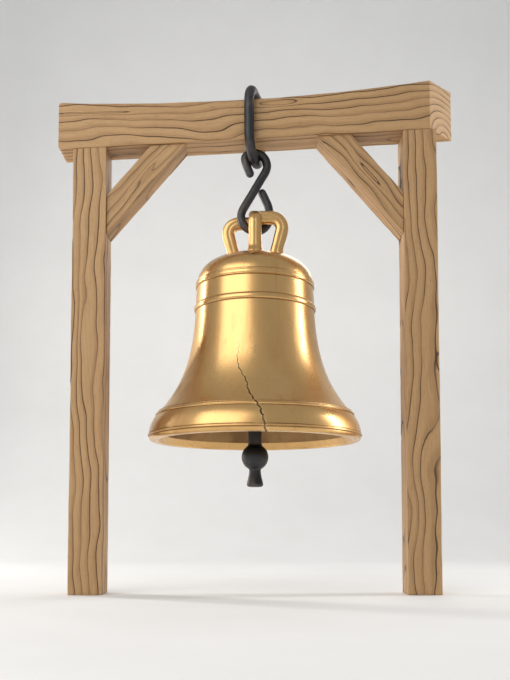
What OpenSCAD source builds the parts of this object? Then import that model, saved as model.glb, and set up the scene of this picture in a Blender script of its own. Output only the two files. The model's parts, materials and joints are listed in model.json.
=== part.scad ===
// Timber bell frame: two posts carry a crossbeam with knee braces, and a cracked
// bell with its clapper hangs from the beam by an iron ring and an S-hook.
// The origin is the centre of the left post's foot. X runs to the right post,
// Y runs away from the viewer, and Z is up. All sizes are in millimetres.

/* [Posts] */
// Width of a post, across the frame
post_w = 190; // [140:5:240]
// Depth of a post, from front to back
post_d = 190; // [150:5:240]
// Distance between the centres of the posts
post_spacing = 1880; // [1800:10:2200]
// Height of the left post at its centre, up to the beam
post_h = 2532; // [2400:2:2800]
// Width of the flat cut along each upright edge
post_chamfer = 6; // [2:1:12]

/* [Crossbeam] */
// Depth of the beam, from front to back
beam_d = 190; // [150:5:240]
// Height of the beam at its left end
beam_h_left = 274; // [220:2:300]
// Height of the beam over the bell, where it is slimmest
beam_h_middle = 232; // [210:2:280]
// Height of the beam at its right end
beam_h_right = 300; // [220:2:330]
// How much higher the beam seats on the right post than on the left
beam_rise = 108; // [0:2:130]
// How far the beam runs past the left post
beam_overhang_left = 86; // [40:2:140]
// How far the back of the beam runs past the right post
beam_overhang_right = 132; // [90:2:180]
// How far the raking cut runs back along the beam, from its back to its front
beam_rake = 168; // [60:2:180]
// Radius of the corners at the beam's left end
beam_corner_r = 18; // [6:1:30]

/* [Braces] */
// How far the left brace reaches along the beam from its post
left_reach = 450; // [380:10:540]
// How far the left brace reaches down its post from the beam
left_drop = 500; // [420:10:600]
// How far the right brace reaches along the beam from its post
right_reach = 490; // [380:10:540]
// How far the right brace reaches down its post from the beam
right_drop = 590; // [420:10:640]
// Width of a brace, square to its length
brace_w = 150; // [110:2:180]
// Depth of a brace, from front to back
brace_d = 160; // [100:2:180]

/* [Joinery] */
// Thickness of every tenon, from front to back
tenon_t = 48; // [36:2:60]
// Height of the tenon on top of a post
post_tenon_h = 90; // [60:5:110]
// Width of the tenon on top of a post
post_tenon_w = 110; // [80:5:130]
// Depth to which a brace is let into the post and the beam
brace_tenon_h = 42; // [25:1:60]
// Room left round a tenon
tenon_room = 1.5; // [0.5:0.25:3]
// Gap left between a shoulder and the underside of the beam
joint_gap = 0.2; // [0.1:0.1:0.5]

// Radius of the two pegs through each post's tenon
post_peg_r = 14; // [10:0.5:16]
// Radius of the peg through each tenon of a brace
brace_peg_r = 10; // [8:0.5:12]
// How far the pegs stand out at the back
peg_proud = 12; // [4:1:20]
// How far the pegs run on in front of the tenons
peg_past = 20; // [8:1:30]

/* [Ring and hook] */
// Thickness of the ring's bar
ring_bar = 58; // [48:1:62]
// How far the ring's front leg is turned towards the left post
ring_turn = 14; // [0:1:16]
// Room between the ring's legs and the beam
ring_room = 10; // [8:0.5:20]
// Radius of the ring's upper corners, to the middle of the bar
ring_corner_r = 98; // [56:1:104]
// Opening left under the beam inside the ring
ring_drop = 70; // [64:1:100]
// Thickness of the S-hook's bar
hook_bar = 50; // [40:1:52]
// How far the S-hook's left side is turned to the front
hook_turn = 10; // [6:1:12]
// Radius of the hook's upper eye, to the middle of the bar
hook_upper_r = 72; // [70:1:78]
// Radius of the hook's lower eye, to the middle of the bar
hook_lower_r = 82; // [76:1:88]
// Length of the straight tip past the hook's upper eye
hook_upper_tip = 45; // [10:1:80]
// Length of the straight tip past the hook's lower eye
hook_lower_tip = 110; // [10:1:120]
// Length of the hook between the seats of its two eyes
hook_pull = 414; // [380:1:440]
// Gap at each seat where iron hangs in iron or in the crown
seat_gap = 0.3; // [0.2:0.1:0.5]

/* [Crown] */
// Thickness of the crown's bars
crown_bar = 74; // [60:1:76]
// Width of a side loop's strap, seen from the front
loop_w = 72; // [56:1:73]
// Thickness of a side loop's strap, from front to back
loop_t = 52; // [40:1:56]
// How far a side loop's leg leans in towards the middle
loop_lean = 15; // [0:1:20]
// Height of the middle arch's underside over the bell's head
crown_window_h = 176; // [150:1:190]
// Half the distance between the legs of the middle arch
arch_half_span = 100; // [96:1:120]
// How far the side loops reach from the middle, to the middle of the strap
loop_reach = 155; // [145:1:175]
// Radius of the bends in the middle arch, to the middle of the bar
arch_bend_r = 47; // [42:1:54]
// Radius of the bends in the side loops, to the middle of the strap
loop_bend_r = 62; // [44:1:80]
// How far each side loop stands off the middle, so that the hook passes
loop_stand_off = 50; // [46:1:56]

/* [Bell] */
// Radius of the mouth at the lip
bell_r = 600; // [560:5:620]
// Height of the bell from lip to head
bell_h = 1068; // [980:2:1160]
// Radius of the bell at the shoulder
shoulder_r = 333; // [310:1:350]
// Thickness of the wall at the waist
wall_t = 43; // [34:1:50]
// Height over the lip where the straight waist ends
waist_z = 792; // [760:2:820]
// Height over the lip of the sound bow, where the wall is thickest
bow_z = 150; // [130:2:170]
// Width of the flat rim under the lip
lip_w = 38; // [30:1:50]
// How far the raised bands stand out
band_out = 7; // [4:1:10]
// Width of the crack at the lip
crack_w = 14; // [6:1:20]

/* [Clapper] */
// Radius of the clapper's ball
ball_r = 76; // [60:1:90]
// Depth of the ball's centre below the lip
ball_drop = 88; // [70:2:100]
// Radius of the shaft just above the ball
shaft_r = 38; // [30:1:44]
// Length of the tail below the ball's centre
tail_len = 170; // [140:2:200]
// Radius of the pin that the clapper swings on
pin_r = 18; // [14:1:22]
// Running clearance round the pin
pin_room = 0.1; // [0.05:0.01:0.1]

/* [Hidden] */

wood = "burlywood";
iron = "dimgray";
bronze = "peru";
eps = 0.01;
far = 4000;
$fn = 72;

// Heights that follow from the sizes above.
function tidy(v) = round(10 * v) / 10;
rise_angle = atan(beam_rise / post_spacing);
mid_x = post_spacing / 2;
function beam_under(x) = post_h + x * tan(rise_angle);
ring_leg = tidy((beam_d / 2 + ring_room + ring_bar / 2) / cos(ring_turn));
ring_seat_z = tidy(beam_under(mid_x) - ring_drop);
hook_r = hook_bar / 2;
hook_top_z = ring_seat_z + seat_gap + hook_r;
hook_upper_z = hook_top_z - hook_upper_r;
hook_seat_z = ring_seat_z + seat_gap - hook_pull;
hook_lower_z = hook_seat_z - hook_r + hook_lower_r;
crown_axis_z = hook_seat_z + seat_gap + crown_bar / 2;
head_z = crown_axis_z - crown_bar / 2 - crown_window_h;
lip_z = head_z - bell_h;

// Points of a cubic curve, without its last point, so that curves can be chained.
function cubic(a, b, c, d, n = 10) = [for (i = [0 : n - 1]) let (t = i / n, s = 1 - t)
    s * s * s * a + 3 * s * s * t * b + 3 * s * t * t * c + t * t * t * d];
// Points of an arc from angle a0 to a1.
function arc(cx, cz, r, a0, a1, n = 8) =
    [for (i = [0 : n]) let (a = a0 + (a1 - a0) * i / n) [cx + r * cos(a), cz + r * sin(a)]];

// Stands an outline drawn in X and Z upright, with its thickness centred on y = 0.
module upright(thick) {
    translate([0, thick / 2, 0]) rotate([90, 0, 0]) linear_extrude(thick) children();
}

// Posts, with a tenon on top that follows the slope of the beam.
module post(x, side) {
    h = beam_under(x);
    c = post_chamfer;
    a = post_w / 2;
    b = post_d / 2;
    color(wood) difference() {
        union() {
            difference() {
                translate([x, 0, 0]) linear_extrude(h + a)
                    polygon([[-a + c, -b], [a - c, -b], [a, -b + c], [a, b - c],
                             [a - c, b], [-a + c, b], [-a, b - c], [-a, -b + c]]);
                translate([0, 0, -joint_gap]) above_beam_underside();
            }
            translate([x - post_tenon_w / 2, -tenon_t / 2, h - a])
                cube([post_tenon_w, tenon_t, post_tenon_h + a]);
        }
        brace_mortise_in_post(side);
        post_peg_shapes(x);
        brace_peg_shapes(side);
    }
}

module above_beam_underside() {
    translate([0, 0, post_h]) rotate([0, -rise_angle, 0])
        translate([-far / 4, -far / 4, 0]) cube([far, far / 2, far / 4]);
}

// The beam is sawn from a timber with a natural sweep: its underside is straight
// and its back dips over the bell. The right end is cut on the rake.
module beam_outline() {
    x0 = -post_w / 2 - beam_overhang_left;
    x1 = post_spacing + post_w / 2 + beam_overhang_right;
    top_left = beam_under(x0) + beam_h_left;
    top_right = beam_under(x1) + beam_h_right;
    top_mid = beam_under(mid_x) + beam_h_middle;
    // Height of the back: a parabola through its two ends and its middle.
    function back(x) = let (u = (x - x0) / (x1 - x0), m = (mid_x - x0) / (x1 - x0),
        chord = top_left + (top_right - top_left) * u,
        dip = top_mid - (top_left + (top_right - top_left) * m))
        chord + dip * u * (1 - u) / (m * (1 - m));
    r = beam_corner_r;
    steps = 16;
    polygon(concat(
        arc(x0 + r, beam_under(x0 + r) + r, r, 180, 270, 5),
        [[x1, beam_under(x1)]],
        [for (i = [0 : steps]) let (x = x1 + (x0 + r - x1) * i / steps) [x, back(x)]],
        arc(x0 + r, back(x0 + r) - r, r, 90, 180, 5)));
}

module crossbeam() {
    x1 = post_spacing + post_w / 2 + beam_overhang_right;
    color(wood) difference() {
        upright(beam_d) beam_outline();
        translate([0, 0, post_h - far / 8]) linear_extrude(far / 4)
            polygon([[x1 - beam_rake, -beam_d / 2], [x1, beam_d / 2], [x1 + 9, beam_d],
                     [x1 + far / 8, beam_d], [x1 + far / 8, -beam_d],
                     [x1 - beam_rake - 9, -beam_d]]);
        for (x = [0, post_spacing]) {
            post_mortise(x);
            post_peg_shapes(x);
        }
        for (side = [1, -1]) {
            brace_mortise_in_beam(side);
            brace_peg_shapes(side);
        }
    }
}

module post_mortise(x) {
    r = tenon_room;
    translate([x - post_tenon_w / 2 - r, -tenon_t / 2 - r, post_h - post_w])
        cube([post_tenon_w + 2 * r, tenon_t + 2 * r,
              beam_under(x) + post_tenon_h + 2 * r - post_h + post_w]);
}

// Braces. The left one has side = 1, and the right one side = -1.
// The corner is where the post's inner face meets the beam's underside.
function corner_x(side) = side > 0 ? post_w / 2 : post_spacing - post_w / 2;
function reach(side) = side > 0 ? left_reach : right_reach;
function drop(side) = side > 0 ? left_drop : right_drop;
function brace_foot_z(side) = beam_under(corner_x(side)) - drop(side);
function brace_head_x(side) = corner_x(side) + side * reach(side);
// How much of the post and of the beam a brace of brace_w covers.
function on_post(side) = brace_w * norm([reach(side), drop(side)]) / reach(side);
function on_beam(side) = brace_w * norm([reach(side), drop(side)]) / drop(side);
shoulder = 9;

module brace(side) {
    cx = corner_x(side);
    foot = brace_foot_z(side);
    head = brace_head_x(side);
    inner = head - side * on_beam(side);
    g = joint_gap;
    color(wood) difference() {
        union() {
            upright(brace_d)
                polygon([[cx, foot], [head, beam_under(head) - g],
                         [inner, beam_under(inner) - g], [cx, foot + on_post(side)]]);
            upright(tenon_t) polygon([[cx + side, foot + shoulder],
                [cx - side * brace_tenon_h, foot + shoulder],
                [cx - side * brace_tenon_h, foot + on_post(side) - shoulder],
                [cx + side, foot + on_post(side) - shoulder]]);
            upright(tenon_t) polygon([
                [head - side * shoulder, beam_under(head) - shoulder],
                [head - side * shoulder, beam_under(head) + brace_tenon_h],
                [inner + side * shoulder, beam_under(head) + brace_tenon_h],
                [inner + side * shoulder, beam_under(inner) - shoulder]]);
        }
        brace_peg_shapes(side);
    }
}

// Pegs are driven from the back and stop short of the front face. The same shapes
// bore the holes, so a peg fills its hole.
module peg(x, z, r) {
    translate([x, beam_d / 2 + peg_proud, z]) rotate([90, 0, 0])
        cylinder(h = beam_d / 2 + peg_proud + tenon_t / 2 + peg_past, r = r);
}
module post_peg_shapes(x) {
    for (s = [-1, 1]) peg(x + s * post_tenon_w / 4, beam_under(x) + post_tenon_h / 2, post_peg_r);
}
module brace_peg_shapes(side) {
    middle = brace_head_x(side) - side * on_beam(side) / 2;
    peg(corner_x(side) - side * brace_tenon_h / 2,
        brace_foot_z(side) + on_post(side) / 2, brace_peg_r);
    peg(middle, beam_under(middle) + brace_tenon_h / 2, brace_peg_r);
}
module post_pegs(x) {
    color(wood) post_peg_shapes(x);
}
module brace_pegs(side) {
    color(wood) brace_peg_shapes(side);
}

module brace_mortise_in_post(side) {
    cx = corner_x(side);
    foot = brace_foot_z(side);
    r = tenon_room;
    deep = brace_tenon_h + r;
    translate([side > 0 ? cx - deep : cx - far / 8, -tenon_t / 2 - r, foot + shoulder - r])
        cube([deep + far / 8, tenon_t + 2 * r, on_post(side) - 2 * shoulder + 2 * r]);
}

module brace_mortise_in_beam(side) {
    head = brace_head_x(side) - side * shoulder;
    inner = brace_head_x(side) - side * (on_beam(side) - shoulder);
    r = tenon_room;
    low = post_h - post_w;
    translate([min(head, inner) - r, -tenon_t / 2 - r, low])
        cube([abs(head - inner) + 2 * r, tenon_t + 2 * r,
              beam_under(brace_head_x(side)) + brace_tenon_h + r - low]);
}

// Bent bar is drawn link by link. Each link starts at the origin and runs up the
// Z axis, and its children go on from its far end. A bend turns towards +X.
module run(len, bar_r) {
    cylinder(h = len, r = bar_r);
    translate([0, 0, len]) children();
}
// A quarter or half turn.
module bend(r, bar_r, turn) {
    translate([r, 0, 0]) rotate([90, 0, 180]) rotate_extrude(angle = turn)
        translate([r, 0]) circle(bar_r);
    translate([r, 0, 0]) rotate([0, turn, 0]) translate([-r, 0, 0]) children();
}

// Iron ring round the beam. Its upper bends bear on the beam's top edges.
module hanging_ring() {
    r = ring_bar / 2;
    c = ring_corner_r;
    low_z = ring_seat_z - r + ring_leg;
    // Height at which the upper bend just meets the top edge of the beam.
    edge = beam_d / 2 - (ring_leg - c) * cos(ring_turn);
    inner = c * cos(ring_turn) - r;
    top_z = beam_under(mid_x) + beam_h_middle + beam_d / 2 * sin(ring_turn) * tan(rise_angle);
    leg_len = tidy(top_z + seat_gap - sqrt(inner * inner - edge * edge) - low_z);
    color(iron) translate([mid_x, 0, low_z]) rotate([0, 0, 90 - ring_turn])
        translate([-ring_leg, 0, 0]) run(leg_len, r) bend(c, r, 90)
        run(2 * (ring_leg - c), r) bend(c, r, 90) run(leg_len, r)
        bend(ring_leg, r, 180);
}

// Forged S-hook: an eye round the ring above, an eye under the crown below, and
// a slanting shank that is tangent to both.
module s_hook() {
    d = hook_upper_z - hook_lower_z;
    slant = tidy(asin((hook_upper_r + hook_lower_r) / d));
    shank = tidy(d * cos(slant));
    color(iron) translate([mid_x, 0, hook_upper_z]) rotate([0, 0, hook_turn])
        rotate([0, slant, 0]) translate([hook_upper_r, 0, 0]) rotate([0, 0, 180]) union() {
            bend(hook_upper_r, hook_r, 180) run(hook_upper_tip, hook_r);
            rotate([0, 180, 0]) run(shank, hook_r)
                bend(hook_lower_r, hook_r, 180) run(hook_lower_tip, hook_r);
        }
}

// Outline of the bell's outside, from the axis at the head down to the lip.
shoulder_z = bell_h - 0.53 * shoulder_r;
waist_r = 1.015 * shoulder_r;
bow_r = 0.92 * bell_r;
lip_turn_z = 0.05 * bell_r;
rim_r = 0.975 * bell_r;
function bell_outside() = concat(
    cubic([0, bell_h], [0.62 * shoulder_r, bell_h],
          [0.99 * shoulder_r, bell_h - 0.15 * shoulder_r], [shoulder_r, shoulder_z], 12),
    cubic([shoulder_r, shoulder_z], [1.006 * shoulder_r, shoulder_z - 0.12 * shoulder_r],
          [0.998 * waist_r, waist_z + 0.09 * shoulder_r], [waist_r, waist_z], 3),
    cubic([waist_r, waist_z], [1.02 * waist_r, 0.69 * waist_z],
          [0.64 * bell_r, 2.2 * bow_z], [bow_r, bow_z], 14),
    cubic([bow_r, bow_z], [bow_r + 0.045 * bell_r, 0.79 * bow_z],
          [bell_r, 0.5 * bow_z], [bell_r, lip_turn_z], 7),
    cubic([bell_r, lip_turn_z], [bell_r, 0.4 * lip_turn_z],
          [0.992 * bell_r, 0], [rim_r, 0], 4));
// Outline of the inside, from the lip up to the axis under the head.
inner_waist_r = waist_r - wall_t;
inner_head_z = bell_h - 1.1 * wall_t;
function bell_inside() = concat([[rim_r, 0]],
    cubic([rim_r - lip_w, 0], [0.575 * bell_r, 2.27 * bow_z],
          [1.015 * inner_waist_r, 0.71 * waist_z], [inner_waist_r, waist_z], 16),
    cubic([inner_waist_r, waist_z], [inner_waist_r, waist_z + 0.3 * wall_t],
          [0.995 * inner_waist_r, shoulder_z - wall_t],
          [0.99 * inner_waist_r, shoulder_z - 0.35 * wall_t], 3),
    cubic([0.99 * inner_waist_r, shoulder_z - 0.35 * wall_t],
          [0.985 * inner_waist_r, inner_head_z - 1.4 * wall_t],
          [0.55 * inner_waist_r, inner_head_z], [0, inner_head_z], 10),
    [[0, inner_head_z]]);

// Raised bands: a fillet at the shoulder, a bead below it, a fillet over the sound
// bow and a line round the lip. Each lies along the wall at a point of its outline.
module band(i, h) {
    line = bell_outside();
    lean = line[i - 1] - line[i + 1];
    b = band_out;
    rotate_extrude() translate(line[i]) rotate([0, 0, atan2(lean[1], lean[0]) - 90])
        polygon([[-b, -h / 2], [0.7 * b, -h / 2], [b, 0.3 * b - h / 2],
                 [b, h / 2 - 0.3 * b], [0.7 * b, h / 2], [-b, h / 2]]);
}

// The crack runs from the waist down through the lip and widens as it goes.
crack_path = bell_r / 600 * [[-93, 542], [-85, 480], [-93, 414], [-91, 370], [-66, 315],
    [-44, 272], [-37, 225], [-18, 186], [25, 120], [44, 50], [56, -20]];
module crack() {
    last = len(crack_path) - 1;
    function half(i) = crack_w * (0.08 + 0.42 * i / last);
    rotate([90, 0, 0]) linear_extrude(1.1 * bell_r)
        polygon(concat([for (i = [0 : last]) crack_path[i] - [half(i), 0]],
                       [for (i = [last : -1 : 0]) crack_path[i] + [half(i), 0]]));
}

module bell() {
    color(bronze) translate([mid_x, 0, lip_z]) difference() {
        union() {
            rotate_extrude() polygon(concat(bell_outside(), bell_inside()));
            band(12, 5 * band_out);
            rotate_extrude() translate([waist_r - band_out, waist_z - 5 * band_out])
                circle(2.4 * band_out);
            band(29, 4.4 * band_out);
            band(36, 2 * band_out);
        }
        crack();
    }
}

// Crown cast on the head: a round middle arch from front to back that the hook
// carries, and a strap loop to each side, set off the middle so that the hook passes.
module arch_half() {
    r = crown_bar / 2;
    rotate([0, 90, 0]) run(arch_half_span - arch_bend_r, r)
        bend(arch_bend_r, r, 90) run(crown_window_h, r);
}
module side_loop() {
    c = loop_bend_r;
    h = loop_w / 2;
    x = loop_reach - c;
    z = crown_axis_z - c;
    outer = arc(x, z, c + h, 90, -loop_lean, 10);
    inner = arc(x, z, c - h, -loop_lean, 90, 6);
    leg = crown_window_h * [-sin(loop_lean), -cos(loop_lean)];
    upright(loop_t) polygon(concat([[0, crown_axis_z + h]], outer, [outer[10] + leg],
                                   [inner[0] + leg], inner, [[0, crown_axis_z - h]]));
}
module crown() {
    color(bronze) translate([mid_x, 0, 0]) difference() {
        union() {
            translate([0, 0, crown_axis_z]) for (s = [90, 270]) rotate([0, 0, s]) arch_half();
            for (s = [0, 180]) rotate([0, 0, s]) translate([0, -loop_stand_off, 0])
                side_loop();
        }
        translate([0, 0, lip_z]) rotate_extrude()
            polygon(concat(bell_outside(), [[0, 0]]));
    }
}

// Staple under the head, the pin through it, and the clapper that swings on it.
pin_z = head_z - wall_t - 4 * pin_r;
eye_w = 2.4 * pin_r;
lug_t = 0.9 * pin_r;
lug_gap = 3;
lug_r = 1.9 * pin_r;
module clapper_staple() {
    y0 = eye_w / 2 + lug_gap;
    color(iron) translate([mid_x, 0, 0]) difference() {
        for (s = [-1, 1]) translate([0, s * (y0 + lug_t / 2), 0]) difference() {
            union() {
                upright(lug_t) translate([-lug_r, pin_z]) square([2 * lug_r, 5 * wall_t]);
                translate([0, lug_t / 2, pin_z]) rotate([90, 0, 0])
                    cylinder(h = lug_t, r = lug_r);
            }
            translate([0, far / 4, pin_z]) rotate([90, 0, 0])
                cylinder(h = far / 2, r = pin_r);
        }
        inside_of_head_and_above();
    }
}
module inside_of_head_and_above() {
    translate([0, 0, lip_z]) rotate_extrude()
        polygon(concat([for (p = bell_inside()) if (p[1] > shoulder_z) p],
                       [[0, 2 * bell_h], [bell_r, 2 * bell_h], [bell_r, shoulder_z]]));
}
module clapper_pin() {
    reach = eye_w / 2 + lug_gap + lug_t;
    color(iron) translate([mid_x, reach + pin_r / 2, pin_z]) rotate([90, 0, 0])
        cylinder(h = 2 * reach + pin_r, r = pin_r);
}

ball_z = lip_z - ball_drop;
function clapper_outline() = let (
    neck = ball_z + 1.03 * ball_r, down = 64, low = ball_z - ball_r * sin(down),
    tail = ball_z - tail_len, tr = 0.62 * ball_r, top_r = 0.58 * shaft_r)
    concat([[0, pin_z]], [[top_r, pin_z]],
        cubic([top_r, pin_z - 0.1 * bell_h], [0.63 * shaft_r, pin_z - 0.3 * bell_h],
              [shaft_r, neck + 0.22 * bell_h], [shaft_r, neck], 6),
        cubic([shaft_r, neck], [shaft_r, neck - 0.18 * ball_r],
              [0.52 * ball_r, ball_z + 0.86 * ball_r],
              [0.7 * ball_r, ball_z + 0.714 * ball_r], 5),
        arc(0, ball_z, ball_r, 45.6, -down, 12),
        cubic([0.43 * ball_r, low - 0.1 * ball_r], [0.46 * ball_r, tail + 0.66 * ball_r],
              [tr, tail + 0.34 * ball_r], [tr, tail + 0.18 * ball_r], 5),
        cubic([tr, tail + 0.18 * ball_r], [tr, tail + 0.05 * ball_r],
              [0.8 * tr, tail], [0.5 * tr, tail], 4),
        [[0, tail]]);
module clapper() {
    color(iron) translate([mid_x, 0, 0]) difference() {
        union() {
            rotate_extrude() polygon(clapper_outline());
            translate([0, eye_w / 2, pin_z]) rotate([90, 0, 0])
                cylinder(h = eye_w, r = 2.2 * pin_r);
        }
        translate([0, 2 * eye_w, pin_z]) rotate([90, 0, 0])
            cylinder(h = 4 * eye_w, r = pin_r + pin_room);
    }
}

post(0, 1);  // left_post
post(post_spacing, -1);  // right_post
crossbeam();
brace(1);  // left_brace
brace(-1);  // right_brace
post_pegs(0);  // left_post_pegs
post_pegs(post_spacing);  // right_post_pegs
brace_pegs(1);  // left_brace_pegs
brace_pegs(-1);  // right_brace_pegs
hanging_ring();
s_hook();
bell();
crown();
clapper_staple();
clapper_pin();
clapper();
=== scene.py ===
import json
import math

import bmesh
import bpy
import numpy as np
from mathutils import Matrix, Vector


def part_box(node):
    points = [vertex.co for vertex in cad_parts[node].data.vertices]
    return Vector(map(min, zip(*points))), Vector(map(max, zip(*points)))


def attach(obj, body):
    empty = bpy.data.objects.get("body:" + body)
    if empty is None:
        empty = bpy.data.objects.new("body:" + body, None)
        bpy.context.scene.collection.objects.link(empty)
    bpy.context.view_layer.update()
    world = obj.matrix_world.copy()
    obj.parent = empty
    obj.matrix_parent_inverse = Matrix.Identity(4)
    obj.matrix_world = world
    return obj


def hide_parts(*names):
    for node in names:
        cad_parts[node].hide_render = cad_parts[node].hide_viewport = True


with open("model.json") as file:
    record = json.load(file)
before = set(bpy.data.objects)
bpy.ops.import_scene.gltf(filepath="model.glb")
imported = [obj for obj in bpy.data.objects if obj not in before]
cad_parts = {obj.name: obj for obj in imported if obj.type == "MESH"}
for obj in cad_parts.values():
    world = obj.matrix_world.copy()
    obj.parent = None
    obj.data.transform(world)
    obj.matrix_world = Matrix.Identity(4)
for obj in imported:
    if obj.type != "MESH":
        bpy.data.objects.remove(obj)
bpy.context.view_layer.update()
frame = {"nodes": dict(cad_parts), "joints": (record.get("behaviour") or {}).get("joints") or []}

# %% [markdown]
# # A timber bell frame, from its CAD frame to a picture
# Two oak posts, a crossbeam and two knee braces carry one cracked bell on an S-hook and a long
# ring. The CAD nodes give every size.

left, right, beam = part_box("left_post"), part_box("right_post"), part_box("crossbeam")
bell_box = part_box("bell")
MID_X = (bell_box[0].x + bell_box[1].x) / 2
LIP_Z, HEAD_Z = bell_box[0].z, bell_box[1].z
MOUTH_R = (bell_box[1].x - bell_box[0].x) / 2
print(f"bell: greatest radius {MOUTH_R:.3f} m, lip at {LIP_Z:.3f} m, head at {HEAD_Z:.3f} m")

# %% [markdown]
# ## One formula, two uses
# On old oak a grain line is two things at once: a dark line and a groove that has opened along it.
# A colour texture and a carved mesh could be made apart, but they would not meet. So the grain is
# written once as a formula. `Num` wraps a shader socket, and `a * b + c` on Nums builds math nodes,
# while the same words on numpy arrays compute numbers. The formula then colours and carves alike.

# %% Shader values as numbers
class Num:
    """A shader value: a socket of a node tree, or a plain number."""

    __array_ufunc__ = None  # so that numpy leaves the operators to this class

    def __init__(self, tree, value=None):
        self.tree, self.value = tree, value

    def node(self, kind, *inputs, out=0, sockets=None, **settings):
        """Any other node: its settings, then its inputs in order (None keeps one) or by name."""
        made = self.tree.nodes.new(kind)
        for key, setting in settings.items():
            setattr(made, key, setting)
        for place, given in [*enumerate(inputs), *(sockets or {}).items()]:
            if isinstance(given, Num):
                given = given.value
            if isinstance(given, bpy.types.NodeSocket):
                self.tree.links.new(given, made.inputs[place])
            elif given is not None:
                made.inputs[place].default_value = given
        return Num(self.tree, made.outputs[out] if made.outputs else None)

    def outputs(self):
        """All the outputs of this value's node."""
        return [Num(self.tree, socket) for socket in self.value.node.outputs]

    def feed(self, shader, name):
        """Link this value to a socket of a shader."""
        self.tree.links.new(self.value, shader.inputs[name])

    def math(self, operation, *others):
        return self.node("ShaderNodeMath", self, *others, operation=operation)

    def __add__(self, other):
        return self.math("ADD", other)

    def __sub__(self, other):
        return self.math("SUBTRACT", other)

    def __mul__(self, other):
        return self.math("MULTIPLY", other)

    def __truediv__(self, other):
        return self.math("DIVIDE", other)

    def __rsub__(self, other):
        return Num(self.tree, float(other)).math("SUBTRACT", self)

    def __rtruediv__(self, other):
        return Num(self.tree, float(other)).math("DIVIDE", self)

    def __neg__(self):
        return self * -1.0

    __radd__, __rmul__ = __add__, __mul__


# %% Functions that take either kind
def sine(a):
    return a.math("SINE") if isinstance(a, Num) else np.sin(a)


def cosine(a):
    return a.math("COSINE") if isinstance(a, Num) else np.cos(a)


def root(a):
    return a.math("SQRT") if isinstance(a, Num) else np.sqrt(a)


def power_of_e(a):
    return a.math("EXPONENT") if isinstance(a, Num) else np.exp(a)


def unit(a):
    """a, held between 0 and 1."""
    if isinstance(a, Num):
        return a.math("MAXIMUM", 0.0).math("MINIMUM", 1.0)
    return np.clip(a, 0.0, 1.0)


def ramp(a, low, high):
    """0 at low, 1 at high, smooth between them."""
    t = unit((a - low) / (high - low))
    return t * t * (3.0 - 2.0 * t)


print("ramp(0.25, 0, 1) is", ramp(0.25, 0.0, 1.0))

# %% [markdown]
# ## Grain
# A tree grows a ring a year, and a sawn timber cuts through them. Its faces show long wavy lines,
# hairpins where a ring only grazes the face, half knots at an edge, and arcs on the end. A wave
# texture would give the same stripes on every face. Here the rings really run round a pith that
# wanders along the timber, so the lines turn over each edge and meet the arcs of the end grain.

# %% Growth rings
TURN = 6.2832


class Grain:
    """Growth rings of one timber. u runs along it, v and w across it, in metres.

    A swirl (u, v, w, length, size, lift) pushes the rings aside round one place. A long one at
    the end of a timber draws a hairpin, a short one at an edge draws half a knot.
    """

    def __init__(self, seed, pith, drift, spacing, swirls=()):
        rng = np.random.default_rng(seed)
        self.pith, self.drift, self.spacing, self.swirls = pith, drift, spacing, swirls
        self.turns = rng.uniform(0, 6.28, 8)
        self.rates = rng.uniform(0.8, 1.25, 8)

    def rings(self, u, v, w):
        """Distance from the pith in rings; a whole number is a dark line."""
        t, k = self.turns, self.rates
        to_v = v - (self.pith[0] + self.drift[0] * sine(u * (1.9 * k[0]) + t[0]))
        to_w = w - (self.pith[1] + self.drift[1] * sine(u * (2.6 * k[1]) + t[1]))
        rho = root(to_v * to_v + to_w * to_w)
        # Three waves, from the slow sweep of the trunk to the small shivers of a line.
        rho = rho + 0.0085 * sine(u * (7.4 * k[2]) + v * 7.0 + w * 9.0 + t[2])
        rho = rho + 0.0036 * sine(u * (17.0 * k[3]) + w * 19.0 - v * 15.0 + t[3])
        rho = rho + 0.0010 * sine(u * (41.0 * k[4]) - v * 40.0 + w * 31.0 + t[4])
        for at_u, at_v, at_w, length, size, lift in self.swirls:
            near = ((u - at_u) / length) * ((u - at_u) / length)
            near = near + ((v - at_v) / size) * ((v - at_v) / size)
            near = near + ((w - at_w) / size) * ((w - at_w) / size)
            rho = rho + lift * power_of_e(-near)
        return rho / self.spacing

    def line(self, u, v, w, half=0.075):
        """1 on a dark line and 0 off it. Lines thin out and end here and there."""
        turn = cosine(self.rings(u, v, w) * TURN)
        edge = math.cos(TURN * half)
        wave = sine(u * (4.3 * self.rates[5]) + v * 31.0 - w * 27.0 + self.turns[5])
        return unit((turn - edge) / (1.0 - edge)) * unit(0.70 + 0.42 * wave)


straight = Grain(1, pith=(0.0, 0.0), drift=(0.0, 0.0), spacing=0.036)
print(f"0.1 m from a straight pith lies ring {straight.rings(0.0, 0.1, 0.0):.2f}")
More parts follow.
